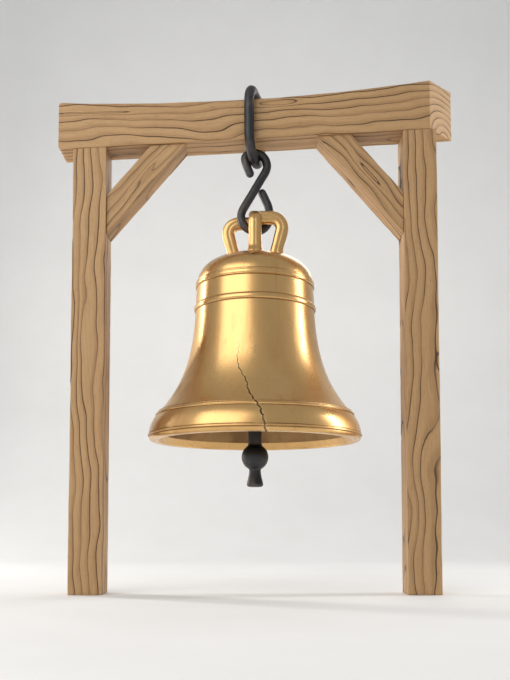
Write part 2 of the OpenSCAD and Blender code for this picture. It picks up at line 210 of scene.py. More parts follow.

# %% [markdown]
# ## Timbers
# The posts, the beam and the braces are sawn oak, with edges worn round by hands and weather. A
# bevelled box with a bump map would do from afar, but its mesh would be bare. Each timber
# is a dense box in its own straight space instead, where u runs along it. Its points are pulled in
# to a wandering edge radius, the grain lines are cut in, and a function carries it to its place.

# %% Boxes of points
def box_sides(half_u, half_v, half_w, step_u, step_c):
    """The six sides of a box as grids of points, with shared points on the edges."""
    def steps(half, step, near, count):
        """Even steps from end to end, with closer ones near both ends."""
        edge = half - near * np.linspace(0, 1, count)
        even = np.linspace(-half, half, max(3, round(2 * half / step) + 1))
        every = np.unique(np.concatenate([even, -edge, edge]).round(7))
        every[[0, -1]] = -half, half
        return every

    us = steps(half_u, step_u, min(half_u, 0.012), 5)
    vs, ws = (steps(half, step_c, 0.006, 4) for half in (half_v, half_w))
    sides = []
    for sign in (-1, 1):
        sides.append((us, vs, lambda a, b, s=sign: (a, b, np.full_like(a, s * half_w))))
        sides.append((us, ws, lambda a, b, s=sign: (a, np.full_like(a, s * half_v), b)))
        sides.append((vs, ws, lambda a, b, s=sign: (np.full_like(a, s * half_u), a, b)))
    return sides


def grid_faces(rows, columns, first=0):
    index = first + np.arange(rows * columns).reshape(rows, columns)
    quads = np.stack([index[:-1, :-1], index[1:, :-1], index[1:, 1:], index[:-1, 1:]], -1)
    return quads.reshape(-1, 4)


def mesh_object(name, points, faces, material, smooth=True):
    """A mesh object at the origin: coincident points are welded, faces turned outward."""
    mesh = bpy.data.meshes.new(name)
    mesh.from_pydata(points.tolist(), [], [face for part in faces for face in part.tolist()])
    work = bmesh.new()
    work.from_mesh(mesh)
    bmesh.ops.remove_doubles(work, verts=work.verts, dist=2e-6)
    bmesh.ops.recalc_face_normals(work, faces=work.faces)
    work.to_mesh(mesh)
    work.free()
    mesh.materials.append(material)
    mesh.polygons.foreach_set("use_smooth", [smooth] * len(mesh.polygons))
    made = bpy.data.objects.new(name, mesh)
    bpy.context.scene.collection.objects.link(made)
    return made


# %% Wear and carve
LINE_CUT, SAW_CUT, FIBRE_CUT = 0.0021, 0.0005, 0.0004  # depths in metres
LEAST_WEAR, MOST_WEAR = 0.0016, 0.0115  # radii of the worn edges
STEP_ACROSS = 0.0027
print(f"points {STEP_ACROSS * 1000:.1f} mm apart, lines cut in by {LINE_CUT * 1000:.1f} mm")


def cuts(grain, u, v, w):
    """How deep each point lies under the worn face: grain lines, saw marks, raised fibres."""
    saw = (1 + np.sin(u * 31 + v * 95 + w * 71)) / 2
    fibre = (1 + np.sin(u * 12 + v * 310 + w * 290 + 3 * np.sin(u * 7))) / 2
    return LINE_CUT * grain.line(u, v, w) + SAW_CUT * saw + FIBRE_CUT * fibre


def carved_timber(name, half, grain, carry, to_local, material, step_u=0.013, wear=0.005):
    """A timber with worn edges and its grain cut in."""
    points, faces, count = [], [], 0
    for a, b, place in box_sides(*half, step_u, STEP_ACROSS):
        aa, bb = np.meshgrid(a, b, indexing="ij")
        points.append(np.stack([c.ravel() for c in place(aa, bb)], 1))
        faces.append(grid_faces(len(a), len(b), count))
        count += len(points[-1])
    p = np.concatenate(points)
    u, v, w = to_local(*carry(p).T)
    wander = 1.0 + 0.45 * np.sin(u * 5.1 + v * 17 + w * 13) + 0.3 * np.sin(u * 17.3 + v * 9)
    radius = np.clip(wear * wander, LEAST_WEAR, MOST_WEAR)[:, None]
    core = np.clip(p, radius - np.array(half), np.array(half) - radius)
    out = p - core
    out = out / np.maximum(np.linalg.norm(out, axis=1, keepdims=True), 1e-9)
    p = core + out * (radius - cuts(grain, u, v, w)[:, None])
    made = mesh_object(name, carry(p), faces, material)
    print(f"{name}: {len(made.data.polygons)} faces")
    return made


def finish_piece(made, body, slot, *nodes):
    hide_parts(*nodes)
    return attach(made, body)


# %% [markdown]
# ## Oiled oak
# Oiled oak is pale between the rings, darker in the late wood, nearly black in the open lines, and
# dotted with pores drawn out along the fibre. An image texture would repeat, and not follow the
# carving. The colours below come from the same rings as the mesh, plus three noises along u.

# %% Helpers for materials
def clear_material(name):
    material = bpy.data.materials.new(name)
    material.use_nodes = True
    tree = material.node_tree
    return material, tree, next(n for n in tree.nodes if n.type == "BSDF_PRINCIPLED")


def object_place(tree):
    """The object coordinates, in metres. They stay on the piece when it moves."""
    return Num(tree).node("ShaderNodeTexCoord", out="Object")


def mixed(factor, low, high):
    """A colour between two colours, each a tuple or a Num."""
    ends = [end if isinstance(end, Num) else (*end, 1.0) for end in (low, high)]
    return factor.node("ShaderNodeMix", factor, *[None] * 5, *ends, out=2, data_type="RGBA")


def stretched_noise(place, rate, squeeze, detail=4.0, rough=0.55):
    """Noise with its own scale each way, such as the fibres of wood, drawn out along it."""
    scaled = place.node("ShaderNodeMapping", place, sockets={"Scale": squeeze})
    return scaled.node("ShaderNodeTexNoise", scaled, out="Fac",
                       sockets={"Scale": rate, "Detail": detail, "Roughness": rough})


def bumped(shader, height, distance, strength=1.0):
    sockets = {"Height": height, "Distance": distance, "Strength": strength}
    height.node("ShaderNodeBump", sockets=sockets).feed(shader, "Normal")


# %% Oiled oak
PALE_OAK, DEEP_OAK = (0.53, 0.325, 0.150), (0.31, 0.160, 0.062)
PORE_BROWN, LINE_BROWN = (0.16, 0.08, 0.03), (0.050, 0.024, 0.010)


def oak(name, grain, to_local, tone=1.0):
    material, tree, shader = clear_material(name)
    place = object_place(tree)
    u, v, w = to_local(*place.node("ShaderNodeSeparateXYZ", place).outputs())
    lines = grain.line(u, v, w)
    late = cosine(grain.rings(u, v, w) * TURN - 0.9) * 0.5 + 0.5
    along = place.node("ShaderNodeCombineXYZ", u, v, w)
    fine = stretched_noise(along, 1.0, (9.0, 420.0, 420.0), 5.0, 0.62)
    blotch = stretched_noise(along, 1.0, (2.2, 16.0, 16.0), 3.0, 0.5)
    pores = stretched_noise(along, 1.0, (28.0, 900.0, 900.0), 2.0, 0.5)
    pale, deep = (tuple(c * tone for c in colour) for colour in (PALE_OAK, DEEP_OAK))
    depth = 0.16 + 0.42 * late * late + 0.9 * (fine - 0.5) + 0.55 * (blotch - 0.5)
    colour = mixed(unit(depth), pale, deep)
    colour = mixed(ramp(pores, 0.60, 0.70) * 0.55, colour, PORE_BROWN)
    mixed(unit(lines * 1.5) * 0.90, colour, LINE_BROWN).feed(shader, "Base Color")
    (0.50 + 0.20 * fine + 0.18 * lines).feed(shader, "Roughness")
    bumped(shader, fine * 0.6 - ramp(pores, 0.58, 0.7) * 0.8, 0.0007, 0.8)
    shader.inputs["Coat Weight"].default_value = 0.06
    shader.inputs["Coat Roughness"].default_value = 0.35
    print(f"{name}: {len(tree.nodes)} nodes")
    return material


# %% [markdown]
# ## The beam's two lines
# The beam is sawn from a swept tree: its underside is straight and rises to the right, its back is
# hollow and rises faster. Both lines could be typed in as numbers, but then a change in the CAD
# would leave this scene behind. So they are fitted to the corners of the CAD node, as heights over
# x. They come before the posts, because the posts end under the beam.

# %% The beam's two lines
def cad_points(node):
    return np.array([point.co for point in frame["nodes"][node].data.vertices])


CORNER = 0.018  # radius of the beam's corners at its left end
BEAM_D, BEAM_L = beam[1].y - beam[0].y, beam[1].x - beam[0].x
BEAM_H = 0.26  # height of the straight box that becomes the beam

beam_points = cad_points("crossbeam")
beam_front = beam_points[np.abs(beam_points[:, 1] - beam[0].y) < 1e-4]
RAKE = float(beam[1].x - beam_front[:, 0].max())
past_corner = beam_front[beam_front[:, 0] > beam[0].x + CORNER - 0.0003]
parting = (beam[0].z + beam[1].z) / 2
top_edge = past_corner[past_corner[:, 2] > parting]
low_edge = past_corner[past_corner[:, 2] <= parting]
top_fit = [float(c) for c in np.polyfit(top_edge[:, 0], top_edge[:, 2], 2)]
low_fit = [float(c) for c in np.polyfit(low_edge[:, 0], low_edge[:, 2], 1)]
print("beam back", np.round(top_fit, 5), "underside", np.round(low_fit, 5))


def beam_under(x):
    return low_fit[0] * x + low_fit[1]


def beam_back(x):
    return top_fit[0] * x * x + top_fit[1] * x + top_fit[2]


# %% [markdown]
# ## Posts
# Two square posts carry everything. Their feet stand flat and their tops are cut to the slope of
# the beam. A box primitive and a Boolean could do that, but here the straight box is stretched up
# to the beam's underside instead. The numbers below are each post's grain: where its pith lies, how
# it drifts, how far apart its rings are, and the swirls that make a hairpin or half a knot. They
# and the beam's weren't chosen by hand: a search outside this file tried many and kept those whose
# lines lie nearest to the drawn ones. The braces' numbers were chosen one by one.

# %% Make the posts
UNDER_BEAM = 0.0004  # air between a post and the beam


def make_post(name, box, seed, pith, drift, spacing, swirls):
    centre_x = (box[0].x + box[1].x) / 2
    half = (beam_under(centre_x) / 2, (box[1].x - box[0].x) / 2, (box[1].y - box[0].y) / 2)

    def carry(p):
        x = centre_x + p[:, 1]
        top = beam_under(x) - UNDER_BEAM
        return np.stack([x, p[:, 2], (p[:, 0] + half[0]) / (2 * half[0]) * top], 1)

    def to_local(x, y, z):
        return z - half[0], x - centre_x, y

    grain = Grain(seed, pith, drift, spacing, swirls)
    finish = oak("oak_" + name, grain, to_local)
    made = carved_timber(name + "_oak", half, grain, carry, to_local, finish)
    return finish_piece(made, "frame", "oak", name)


make_post("left_post", left, 59, (0.199, 0.027), (0.013, 0.010), 0.0374,
          ((0.18, -0.028, -0.095, 0.30, 0.028, -0.039),
           (1.10, 0.130, -0.095, 0.18, 0.031, 0.055)))
make_post("right_post", right, 239, (0.126, 0.047), (0.029, 0.017), 0.0346,
          ((-0.83, -0.061, -0.095, 0.19, 0.055, 0.020),
           (-0.017, 0.126, -0.095, 0.068, 0.034, 0.059),
           (-0.226, 0.065, -0.095, 0.61, 0.047, 0.0115)))

# %% [markdown]
# ## Crossbeam
# The beam lies on the posts, with rounded corners at its left end and a raked cut at its right. A
# Curve modifier would bend a box, but wouldn't change its height on the way. So the straight box is
# stretched between the two lines, point by point, which rounds the corners and cuts the rake too.

# %% Make the crossbeam
def make_beam():
    half = (BEAM_L / 2, BEAM_D / 2, BEAM_H / 2)
    x0, x1 = beam[0].x, beam[1].x

    def carry(p):
        y = p[:, 1]
        end = x1 - RAKE * (half[1] - y) / BEAM_D
        x = x0 + (p[:, 0] + half[0]) / BEAM_L * (end - x0)
        near = np.clip(CORNER - (x - x0), 0.0, CORNER)
        round_off = CORNER - np.sqrt(np.maximum(CORNER * CORNER - near * near, 0.0))
        low, high = beam_under(x) + round_off, beam_back(x) - round_off
        return np.stack([x, y, low + (p[:, 2] + half[2]) / BEAM_H * (high - low)], 1)

    def to_local(x, y, z):
        middle = (beam_under(x) + beam_back(x)) * 0.5
        return x - (x0 + x1) / 2, y, z - middle

    grain = Grain(84, (0.0254, -0.1673), (0.0129, 0.0073), 0.0374,
                  ((-0.96, -0.095, 0.071, 0.287, 0.012, 0.051),
                   (-0.29, -0.095, -0.077, 0.212, 0.057, 0.023),
                   (0.112, -0.095, 0.080, 0.122, 0.018, 0.060),
                   (0.282, -0.095, -0.083, 0.196, 0.030, 0.016)))
    finish = oak("oak_crossbeam", grain, to_local, 1.04)
    made = carved_timber("crossbeam_oak", half, grain, carry, to_local, finish, 0.0125)
    return finish_piece(made, "frame", "oak", "crossbeam")


make_beam()

# %% [markdown]
# ## Knee braces
# A knee brace is a short timber at about 45 degrees that keeps a post square to the beam. It is cut
# level where it meets the beam and upright where it meets the post. A Boolean would make both cuts
# and leave long thin faces. So its four corners are read off the CAD node, and the straight box is
# stretched between them.

# %% Make the braces
def brace_corners(name, side):
    """The lower and upper corner at the post, the outer and inner corner at the beam (x, z)."""
    points = cad_points(name)
    face = points[np.abs(points[:, 1] - points[:, 1].min()) < 1e-4][:, [0, 2]]
    face = np.unique(face.round(5), axis=0)
    at_post = face[:, 0].min() if side > 0 else face[:, 0].max()
    by_post = face[np.abs(face[:, 0] - at_post) < 2e-3]
    low, high = by_post[by_post[:, 1].argmin()], by_post[by_post[:, 1].argmax()]
    by_beam = face[face[:, 1] > high[1] + 0.05]
    outward = by_beam[:, 0] * side
    return low, high, by_beam[outward.argmax()], by_beam[outward.argmin()], points[:, 1].max()


def make_brace(name, side, seed, pith, swirls):
    low, high, outer, inner, half_w = brace_corners(name, side)
    length = np.linalg.norm(outer - low)
    along = (outer - low) / length
    across = np.array([-along[1], along[0]]) * side
    centre = (low + high + outer + inner) / 4
    width = abs(np.dot(high - low, across))
    half = (length / 2, width / 2, half_w)

    def carry(p):
        t = ((p[:, 0] + half[0]) / length)[:, None]
        s = ((p[:, 1] + half[1]) / width)[:, None]
        flat = (low * (1 - t) + outer * t) * (1 - s) + (high * (1 - t) + inner * t) * s
        return np.stack([flat[:, 0], p[:, 2], flat[:, 1]], 1)

    def to_local(x, y, z):
        dx, dz = x - float(centre[0]), z - float(centre[1])
        u = dx * float(along[0]) + dz * float(along[1])
        v = dx * float(across[0]) + dz * float(across[1])
        return u, v, y

    grain = Grain(seed, pith, (0.010, 0.010), 0.030, swirls)
    finish = oak("oak_" + name, grain, to_local, 0.98)
    made = carved_timber(name + "_oak", half, grain, carry, to_local, finish, 0.010, 0.004)
    return finish_piece(made, "frame", "oak", name)


make_brace("left_brace", 1, 5, (0.115, 0.030), ((0.10, -0.010, -0.080, 0.17, 0.018, 0.026),))
make_brace("right_brace", -1, 13, (-0.110, 0.034), ((-0.02, 0.0, -0.080, 0.16, 0.020, 0.034),))

# %% [markdown]
# ## Bell bronze
# A cast bell is turned and brushed bright, and then it dulls: brown clouds, fine rings left by the
# tool, dark hollows and rubbed edges. The hollows are darkened partly as dirt and partly as painted
# shade. One flat gold would look like plastic. Noise on the object coordinates gives the clouds and
# the tool's rings. Blender's pointiness finds edges and hollows, and an attribute, stored on the
# bell further down, puts dirt and painted shade at the feet of its bands.

# %% Bronze
BRIGHT_BRONZE, BROWN_BRONZE = (0.74, 0.455, 0.185), (0.44, 0.235, 0.090)
DIRT_AND_SHADE_BRONZE, RUBBED_BRONZE = (0.17, 0.085, 0.035), (0.93, 0.66, 0.31)


def pointiness(place):
    """Over 0.5 on edges, under 0.5 in hollows."""
    return place.node("ShaderNodeNewGeometry", out="Pointiness")


def bronze():
    material, tree, shader = clear_material("bell_bronze")
    place = object_place(tree)
    cloud = stretched_noise(place, 3.2, (1.0, 1.0, 0.45), 5.0, 0.6)
    streak = stretched_noise(place, 13.0, (1.0, 1.0, 0.10), 4.0, 0.6)
    grain = stretched_noise(place, 60.0, (1.0, 1.0, 1.0), 3.0, 0.6)
    turning = stretched_noise(place, 5.0, (0.6, 0.6, 130.0), 2.0, 0.5)
    fold = pointiness(place)
    foot_dirt_and_shade = place.node("ShaderNodeAttribute", attribute_name="foot_dirt_and_shade", out="Fac")
    # Darker in the hollows, where pointiness is under 0.5, and at the feet of the bands: partly
    # dirt, partly painted shade in the creases.
    hollow = unit(ramp(fold, 0.505, 0.44) + foot_dirt_and_shade * (0.55 + 0.6 * cloud))
    brown = unit(ramp(cloud, 0.48, 0.72) * 0.45 + ramp(streak, 0.54, 0.74) * 0.35)
    colour = mixed(brown, BRIGHT_BRONZE, BROWN_BRONZE)
    # Here the dirt and the painted shade darken the colour.
    colour = mixed(unit(hollow * 0.85), colour, DIRT_AND_SHADE_BRONZE)
    mixed(unit(ramp(fold, 0.52, 0.60) * 0.6), colour, RUBBED_BRONZE).feed(shader, "Base Color")
    rough = 0.25 + 0.15 * ramp(cloud, 0.42, 0.75) + 0.08 * ramp(streak, 0.5, 0.7) + 0.30 * hollow
    rough.feed(shader, "Roughness")
    bumped(shader, grain * 0.3 + turning * 0.7, 0.0003, 0.5)
    shader.inputs["Metallic"].default_value = 1.0
    print(f"{material.name}: {len(tree.nodes)} nodes")
    return material


BRONZE = bronze()

# %% [markdown]
# ## Rough cast
# Above the lip, the inside of a bell stays as it left the mould: dull, dark and a little sandy. A
# darker copy of the bronze would still shine like a mirror in there. Fine noise as a bump, and a
# high roughness, make it sandy.

# %% Rough cast
MOULD_BRONZE, MOULD_BROWN = (0.40, 0.245, 0.110), (0.235, 0.135, 0.062)


def rough_cast():
    material, tree, shader = clear_material("rough_cast_bronze")
    place = object_place(tree)
    cloud = stretched_noise(place, 4.0, (1.0, 1.0, 0.6), 4.0, 0.6)
    sand = stretched_noise(place, 90.0, (1.0, 1.0, 1.0), 4.0, 0.65)
    colour = mixed(ramp(cloud, 0.38, 0.66), MOULD_BRONZE, MOULD_BROWN)
    colour.feed(shader, "Base Color")
    (0.52 + 0.2 * sand).feed(shader, "Roughness")
    bumped(shader, sand, 0.0012, 0.8)
    shader.inputs["Metallic"].default_value = 1.0
    print(f"{material.name}: {len(tree.nodes)} nodes")
    return material


ROUGH_CAST = rough_cast()

# %% [markdown]
# ## Wrought iron
# Wrought iron is black with scale from the forge, browner where the scale has gone, and grey where
# other iron rubs on it. A plain dark paint would hide the hammer marks. So the metal stays nearly
# fully metallic, and noise changes its roughness from patch to patch, which lets the dents glint.

# %% Iron
BLACK_IRON, BROWN_IRON = (0.060, 0.061, 0.066), (0.115, 0.098, 0.085)
RUBBED_IRON = (0.26, 0.25, 0.245)


def iron():
    material, tree, shader = clear_material("wrought_iron")
    place = object_place(tree)
    scale = stretched_noise(place, 38.0, (1.0, 1.0, 1.0), 5.0, 0.62)
    patch = stretched_noise(place, 9.0, (1.0, 1.0, 1.0), 4.0, 0.6)
    colour = mixed(ramp(patch, 0.46, 0.66) * 0.75, BLACK_IRON, BROWN_IRON)
    rubbed = unit(ramp(pointiness(place), 0.51, 0.58) * 0.7)
    mixed(rubbed, colour, RUBBED_IRON).feed(shader, "Base Color")
    (0.36 + 0.26 * scale).feed(shader, "Roughness")
    bumped(shader, scale * 0.7 + patch * 0.3, 0.0012, 0.7)
    shader.inputs["Metallic"].default_value = 0.9
    print(f"{material.name}: {len(tree.nodes)} nodes")
    return material


IRON = iron()

# %% [markdown]
# ## Bell outline
# A founder sweeps a board with the bell's outline round the mould: a domed head, a straight waist,
# a flare to the sound bow, and a rim. A Spin or Screw modifier on a drawn curve would turn it too,
# but the crack has to part the wall. So the outline is kept here as cubic curves, the same ones as
# in the CAD, and the points are turned further down. `r` is the distance from the axis and `z` the
# height over the lip.

# %% Outline
BELL_R = 0.600  # of the bare wall at the lip; the bands stand out of it
BELL_H = HEAD_Z - LIP_Z
SHOULDER_R = 0.555 * BELL_R
SHOULDER_Z = BELL_H - 0.53 * SHOULDER_R
WAIST_R, WAIST_Z = 1.015 * SHOULDER_R, 0.7416 * BELL_H
BOW_R, BOW_Z = 0.92 * BELL_R, 0.25 * BELL_R
RIM_R, TURN_Z = 0.975 * BELL_R, 0.05 * BELL_R
WALL, LIP_W = 0.043, 0.038
HOLLOW_R, HOLLOW_H = WAIST_R - WALL, BELL_H - 1.1 * WALL


def cubic(a, b, c, d, count):
    """Points of a cubic curve from a up to, and without, d."""
    t = np.arange(count)[:, None] / count
    a, b, c, d = (np.array(p, float) for p in (a, b, c, d))
    return (1 - t) ** 3 * a + 3 * (1 - t) ** 2 * t * b + 3 * (1 - t) * t * t * c + t ** 3 * d


def outline(curves, counts=(200,) * 5):
    return np.concatenate([cubic(*c, n) for c, n in zip(curves, counts)] + [[curves[-1][3]]])


OUTSIDE_CURVES = [
    ([0, BELL_H], [0.62 * SHOULDER_R, BELL_H],
     [0.99 * SHOULDER_R, BELL_H - 0.15 * SHOULDER_R], [SHOULDER_R, SHOULDER_Z]),
    ([SHOULDER_R, SHOULDER_Z], [1.006 * SHOULDER_R, SHOULDER_Z - 0.12 * SHOULDER_R],
     [0.998 * WAIST_R, WAIST_Z + 0.09 * SHOULDER_R], [WAIST_R, WAIST_Z]),
    ([WAIST_R, WAIST_Z], [1.02 * WAIST_R, 0.69 * WAIST_Z],
     [0.64 * BELL_R, 2.2 * BOW_Z], [BOW_R, BOW_Z]),
    ([BOW_R, BOW_Z], [BOW_R + 0.045 * BELL_R, 0.79 * BOW_Z],
     [BELL_R, 0.5 * BOW_Z], [BELL_R, TURN_Z]),
    ([BELL_R, TURN_Z], [BELL_R, 0.4 * TURN_Z], [0.992 * BELL_R, 0], [RIM_R, 0])]
INSIDE_CURVES = [
    ([RIM_R - LIP_W, 0], [0.575 * BELL_R, 2.27 * BOW_Z],
     [1.015 * HOLLOW_R, 0.71 * WAIST_Z], [HOLLOW_R, WAIST_Z]),
    ([HOLLOW_R, WAIST_Z], [HOLLOW_R, WAIST_Z + 0.3 * WALL],
     [0.995 * HOLLOW_R, SHOULDER_Z - WALL], [0.99 * HOLLOW_R, SHOULDER_Z - 0.35 * WALL]),
    ([0.99 * HOLLOW_R, SHOULDER_Z - 0.35 * WALL], [0.985 * HOLLOW_R, HOLLOW_H - 1.4 * WALL],
     [0.55 * HOLLOW_R, HOLLOW_H], [0, HOLLOW_H])]
print(f"bell: {BELL_H:.3f} m high, waist radius {WAIST_R:.3f} m, inside {HOLLOW_H:.3f} m high")

# %% [markdown]
# ## Bands
# The founder presses raised bands into the mould: one at the shoulder, a rounded one at the waist,
# one over the sound bow and a thin one at the lip. Loose rings round the bell would leave open
# seams. Here each band is a rise of the outline itself, at a length along the wall, with a steep
# edge and a fine groove near it, so the bell stays one shell.

# %% Bands
BAND_OUT = 0.007  # how far a band stands out
EDGE = 0.0022  # a band's edge rises over 1.6 of these
GROOVE, GROOVE_W = 0.0012, 0.0013


def lengths(points):
    return np.concatenate([[0], np.cumsum(np.linalg.norm(np.diff(points, axis=0), axis=1))])


def at_lengths(points, s):
    whole = lengths(points)
    return np.stack([np.interp(s, whole, points[:, 0]), np.interp(s, whole, points[:, 1])], 1)


OUTSIDE = outline(OUTSIDE_CURVES)
OUT_S = lengths(OUTSIDE)
CAD_OUTSIDE = outline(OUTSIDE_CURVES, (12, 3, 14, 7, 4))  # the corners of the CAD's bell


def along_outside(point):
    """Length along the outside at its place nearest to a point."""
    return OUT_S[np.linalg.norm(OUTSIDE - point, axis=1).argmin()]


# A band is (its middle along the outside, half its height, how far it stands out, rounded).
BANDS = [
    (along_outside(CAD_OUTSIDE[12]), 2.45 * BAND_OUT, BAND_OUT * 0.93, False),
    (along_outside([WAIST_R, WAIST_Z - 5 * BAND_OUT]), 2.35 * BAND_OUT, 1.32 * BAND_OUT, True),
    (along_outside(CAD_OUTSIDE[29]), 2.1 * BAND_OUT, BAND_OUT * 0.93, False),
    (along_outside(CAD_OUTSIDE[36]), 0.95 * BAND_OUT, BAND_OUT * 0.80, False),
]


def standing_out(s):
    """How far the bands stand out of the wall at a length along the outside."""
    out = np.zeros_like(s)
    for middle, half, rise, rounded in BANDS:
        away = np.abs(s - middle)
        if rounded:
            out = np.maximum(out, rise * np.sqrt(np.clip(1 - (away / half) ** 2, 0, 1)))
        else:
            flat = rise * (1 - ramp(away, half - 1.6 * EDGE, half))
            groove = GROOVE * np.exp(-((away - half + 3.6 * EDGE) / GROOVE_W) ** 2)
            out = np.maximum(out, flat - groove * (away < half))
    return out


print("bands at", [round(float(middle), 3) for middle, *_ in BANDS], "m from the head")

# %% [markdown]
# ## Crack
# The bell is split from the lip to under its shoulder. The crack zigzags, because it runs from one
# weak grain of the metal to the next, and it gapes most at the lip. A dark line in the material, or
# a Boolean, could show it. Here the crack is a line of (sideways, height over the lip) and a width,
# and each row of the bell starts on its one side and ends on its other.

# %% Crack
MM = 0.001
CRACK_TOP = 0.542
CRACK = np.array([(-93, 542), (-85, 480), (-93, 414), (-91, 370), (-66, 315), (-44, 272),
                  (-37, 225), (-18, 186), (25, 120), (44, 50), (56, -20)]) * MM
CRACK_W = 0.014


def crack_place(z):
    """Middle and half width of the crack at a height over the lip."""
    rough = 0.0018 * np.sin(z * 410) + 0.0026 * np.sin(z * 173 + 1) + 0.0011 * np.sin(z * 890 + 2)
    middle = np.interp(-z, -CRACK[:, 1], CRACK[:, 0]) + rough
    half = CRACK_W * (0.02 + 0.40 * (CRACK_TOP - z) / CRACK_TOP)
    half = half * (1 + 0.16 * np.sin(z * 260) + 0.12 * np.sin(z * 95))
    return middle, np.where(z < CRACK_TOP, np.maximum(half, 0.0), 0.0)


print(f"crack: {CRACK_TOP:.3f} m high, {crack_place(0.0)[1] * 2000:.1f} mm wide at the lip")

# %% [markdown]
# ## Rows of the bell
# Rows close together everywhere would cost a million faces. They stand close only where the wall
# bends fast, at the bands and at their feet. Down the crack's height, the inside has a row for each
# outside row at the same level, so that the walls of the crack can join them with plain quads.

# %% Rows down the outside
ROW_STEP = 0.0085
EDGE_ROWS = np.array([4.6, 3.6, 2.6, 1.6, 0.8, 0.0, -0.5])  # in EDGE, inward from a band's edge
FOOT_ROWS = np.array([0.4, 1.0, 1.7, 2.5])  # in EDGE, outward from a band's edge


def outside_rows():
    s = np.append(np.arange(0.004, OUT_S[-1], ROW_STEP), OUT_S[-1])
    for middle, half, _, rounded in BANDS:
        edges = half - EDGE * EDGE_ROWS
        band = np.linspace(-half, half, 15) if rounded else np.concatenate([edges, -edges, [0.0]])
        foot = half + EDGE * FOOT_ROWS
        s = s[np.abs(s - middle) > half + 3.0 * EDGE]
        s = np.concatenate([s, middle + band, middle + foot, middle - foot])
    s = np.unique(s.round(6))
    step = at_lengths(OUTSIDE, np.minimum(s + 1e-4, OUT_S[-1])) - at_lengths(OUTSIDE, s - 1e-4)
    normal = np.stack([-step[:, 1], step[:, 0]], 1)
    normal /= np.linalg.norm(normal, axis=1, keepdims=True)
    return at_lengths(OUTSIDE, s) + normal * standing_out(s)[:, None]


outer_rows = outside_rows()
print(f"{len(outer_rows)} rows down the outside")


# %% Rows across the rim and up the inside
TUNED_H = 0.040  # the founder turns the inside bright up to here, and a little deeper
TUNED_IN = 0.0015
RIM_SAG = 0.0012  # how far the rim is dished between its edges
INNER_STEP = 0.022  # between rows above the crack


def rim_rows():
    rim = np.stack([np.linspace(RIM_R, RIM_R - LIP_W, 6), np.zeros(6)], 1)
    rim[1:-1, 1] += RIM_SAG
    return rim[1:]


def inside_rows(outer):
    """Rows beside the outer rows up to the top of the crack, and rows above it."""
    inside = outline(INSIDE_CURVES, (260, 60, 160))
    low = outer[outer[:, 1] < CRACK_TOP][::-1]
    low = low[low[:, 1] > np.maximum.accumulate(np.append(1e-4, low[:-1, 1])) + 1e-5]
    beside = np.stack([np.interp(low[:, 1], inside[:, 1], inside[:, 0]), low[:, 1]], 1)
    beside[:, 0] += TUNED_IN * (low[:, 1] < TUNED_H)
    s = lengths(inside)
    start = s[np.searchsorted(inside[:, 1], CRACK_TOP)]
    above = at_lengths(inside, np.arange(start + 0.006, s[-1] - 0.002, INNER_STEP))
    return beside, above


beside_rows, above_rows = inside_rows(outer_rows)
print(f"{len(beside_rows)} rows inside beside the crack, {len(above_rows)} above it")

# %% [markdown]
# ## Turning the bell
# Each row goes round the axis from one side of the crack to the other. Above the crack its ends
# meet, and the weld in `mesh_object` closes the shell. Two caps on the axis shut the head, and two
# walls, jagged like torn metal, shut the crack from the outside to the inside.

# %% Turn the rows
SWELL, SWELL_R = 0.00025, 0.2  # a cast bell is never quite round, but it is near its axis
IN_BOX = 0.0002  # how far the lip stays inside the CAD node


def turned(rows, columns):
    """Rows turned round the axis, parted at the crack. Column 0 and the last lie on its sides."""
    r, z = rows[:, 0], rows[:, 1]
    middle, half = crack_place(z)
    top_r = np.interp(-CRACK_TOP, -OUTSIDE[:, 1], OUTSIDE[:, 0])
    start = np.arcsin(np.clip(middle / np.where(z < CRACK_TOP, r, top_r), -1, 1))
    gap = np.where(z < CRACK_TOP, half / np.maximum(r, 0.05), 0.0)
    t = np.linspace(0, 1, columns + 1)
    angle = (start + gap)[:, None] + (2 * math.pi - 2 * gap)[:, None] * t
    swell = SWELL * np.sin(3 * angle + 9 * z[:, None])
    swell = swell * np.minimum(r, SWELL_R)[:, None] / SWELL_R
    reach = np.minimum(r[:, None] + swell, MOUTH_R - IN_BOX)
    return np.stack([MID_X + reach * np.sin(angle), -reach * np.cos(angle),
                     LIP_Z + np.broadcast_to(z[:, None], angle.shape)], 2)


# %% Walls of the crack
JAG, JAG_FADE = 0.0011, 12  # how rough the torn metal is, and its last rows that run smooth


def crack_walls(grid, outer, rim_count, beside):
    """Both walls, as grids from each outside row to the inside row at its height.

    The lowest row runs along the rim. The highest one is shared by both and closes the slit.
    """
    rim_i = np.arange(len(outer) - 1, len(outer) + rim_count)
    below = np.flatnonzero(outer[:-1, 1] < CRACK_TOP)[::-1]
    level = [np.abs(beside[:, 1] - outer[i, 1]).argmin() for i in below]
    level = rim_i[-1] + 1 + np.maximum.accumulate(level)
    outer_i = [rim_i[0], *below, below[-1] - 1]
    inner_i = [rim_i[-1], *level, level[-1] + 1]
    k, t = np.arange(len(outer_i))[:, None], np.linspace(0, 1, len(rim_i))
    jag = JAG * np.sin(2.3 * k + 1.9 * np.arange(len(t))) * np.sin(math.pi * t)
    jag = jag * np.clip((len(k) - 1 - k) / JAG_FADE, 0, 1)
    walls = []
    for column in (0, -1):
        a, b = grid[outer_i, column][:, None], grid[inner_i, column][:, None]
        wall = a + (b - a) * t[:, None]
        wall[:, :, 0] += jag
        wall[0] = grid[rim_i, column]
        walls.append(wall)
    return walls


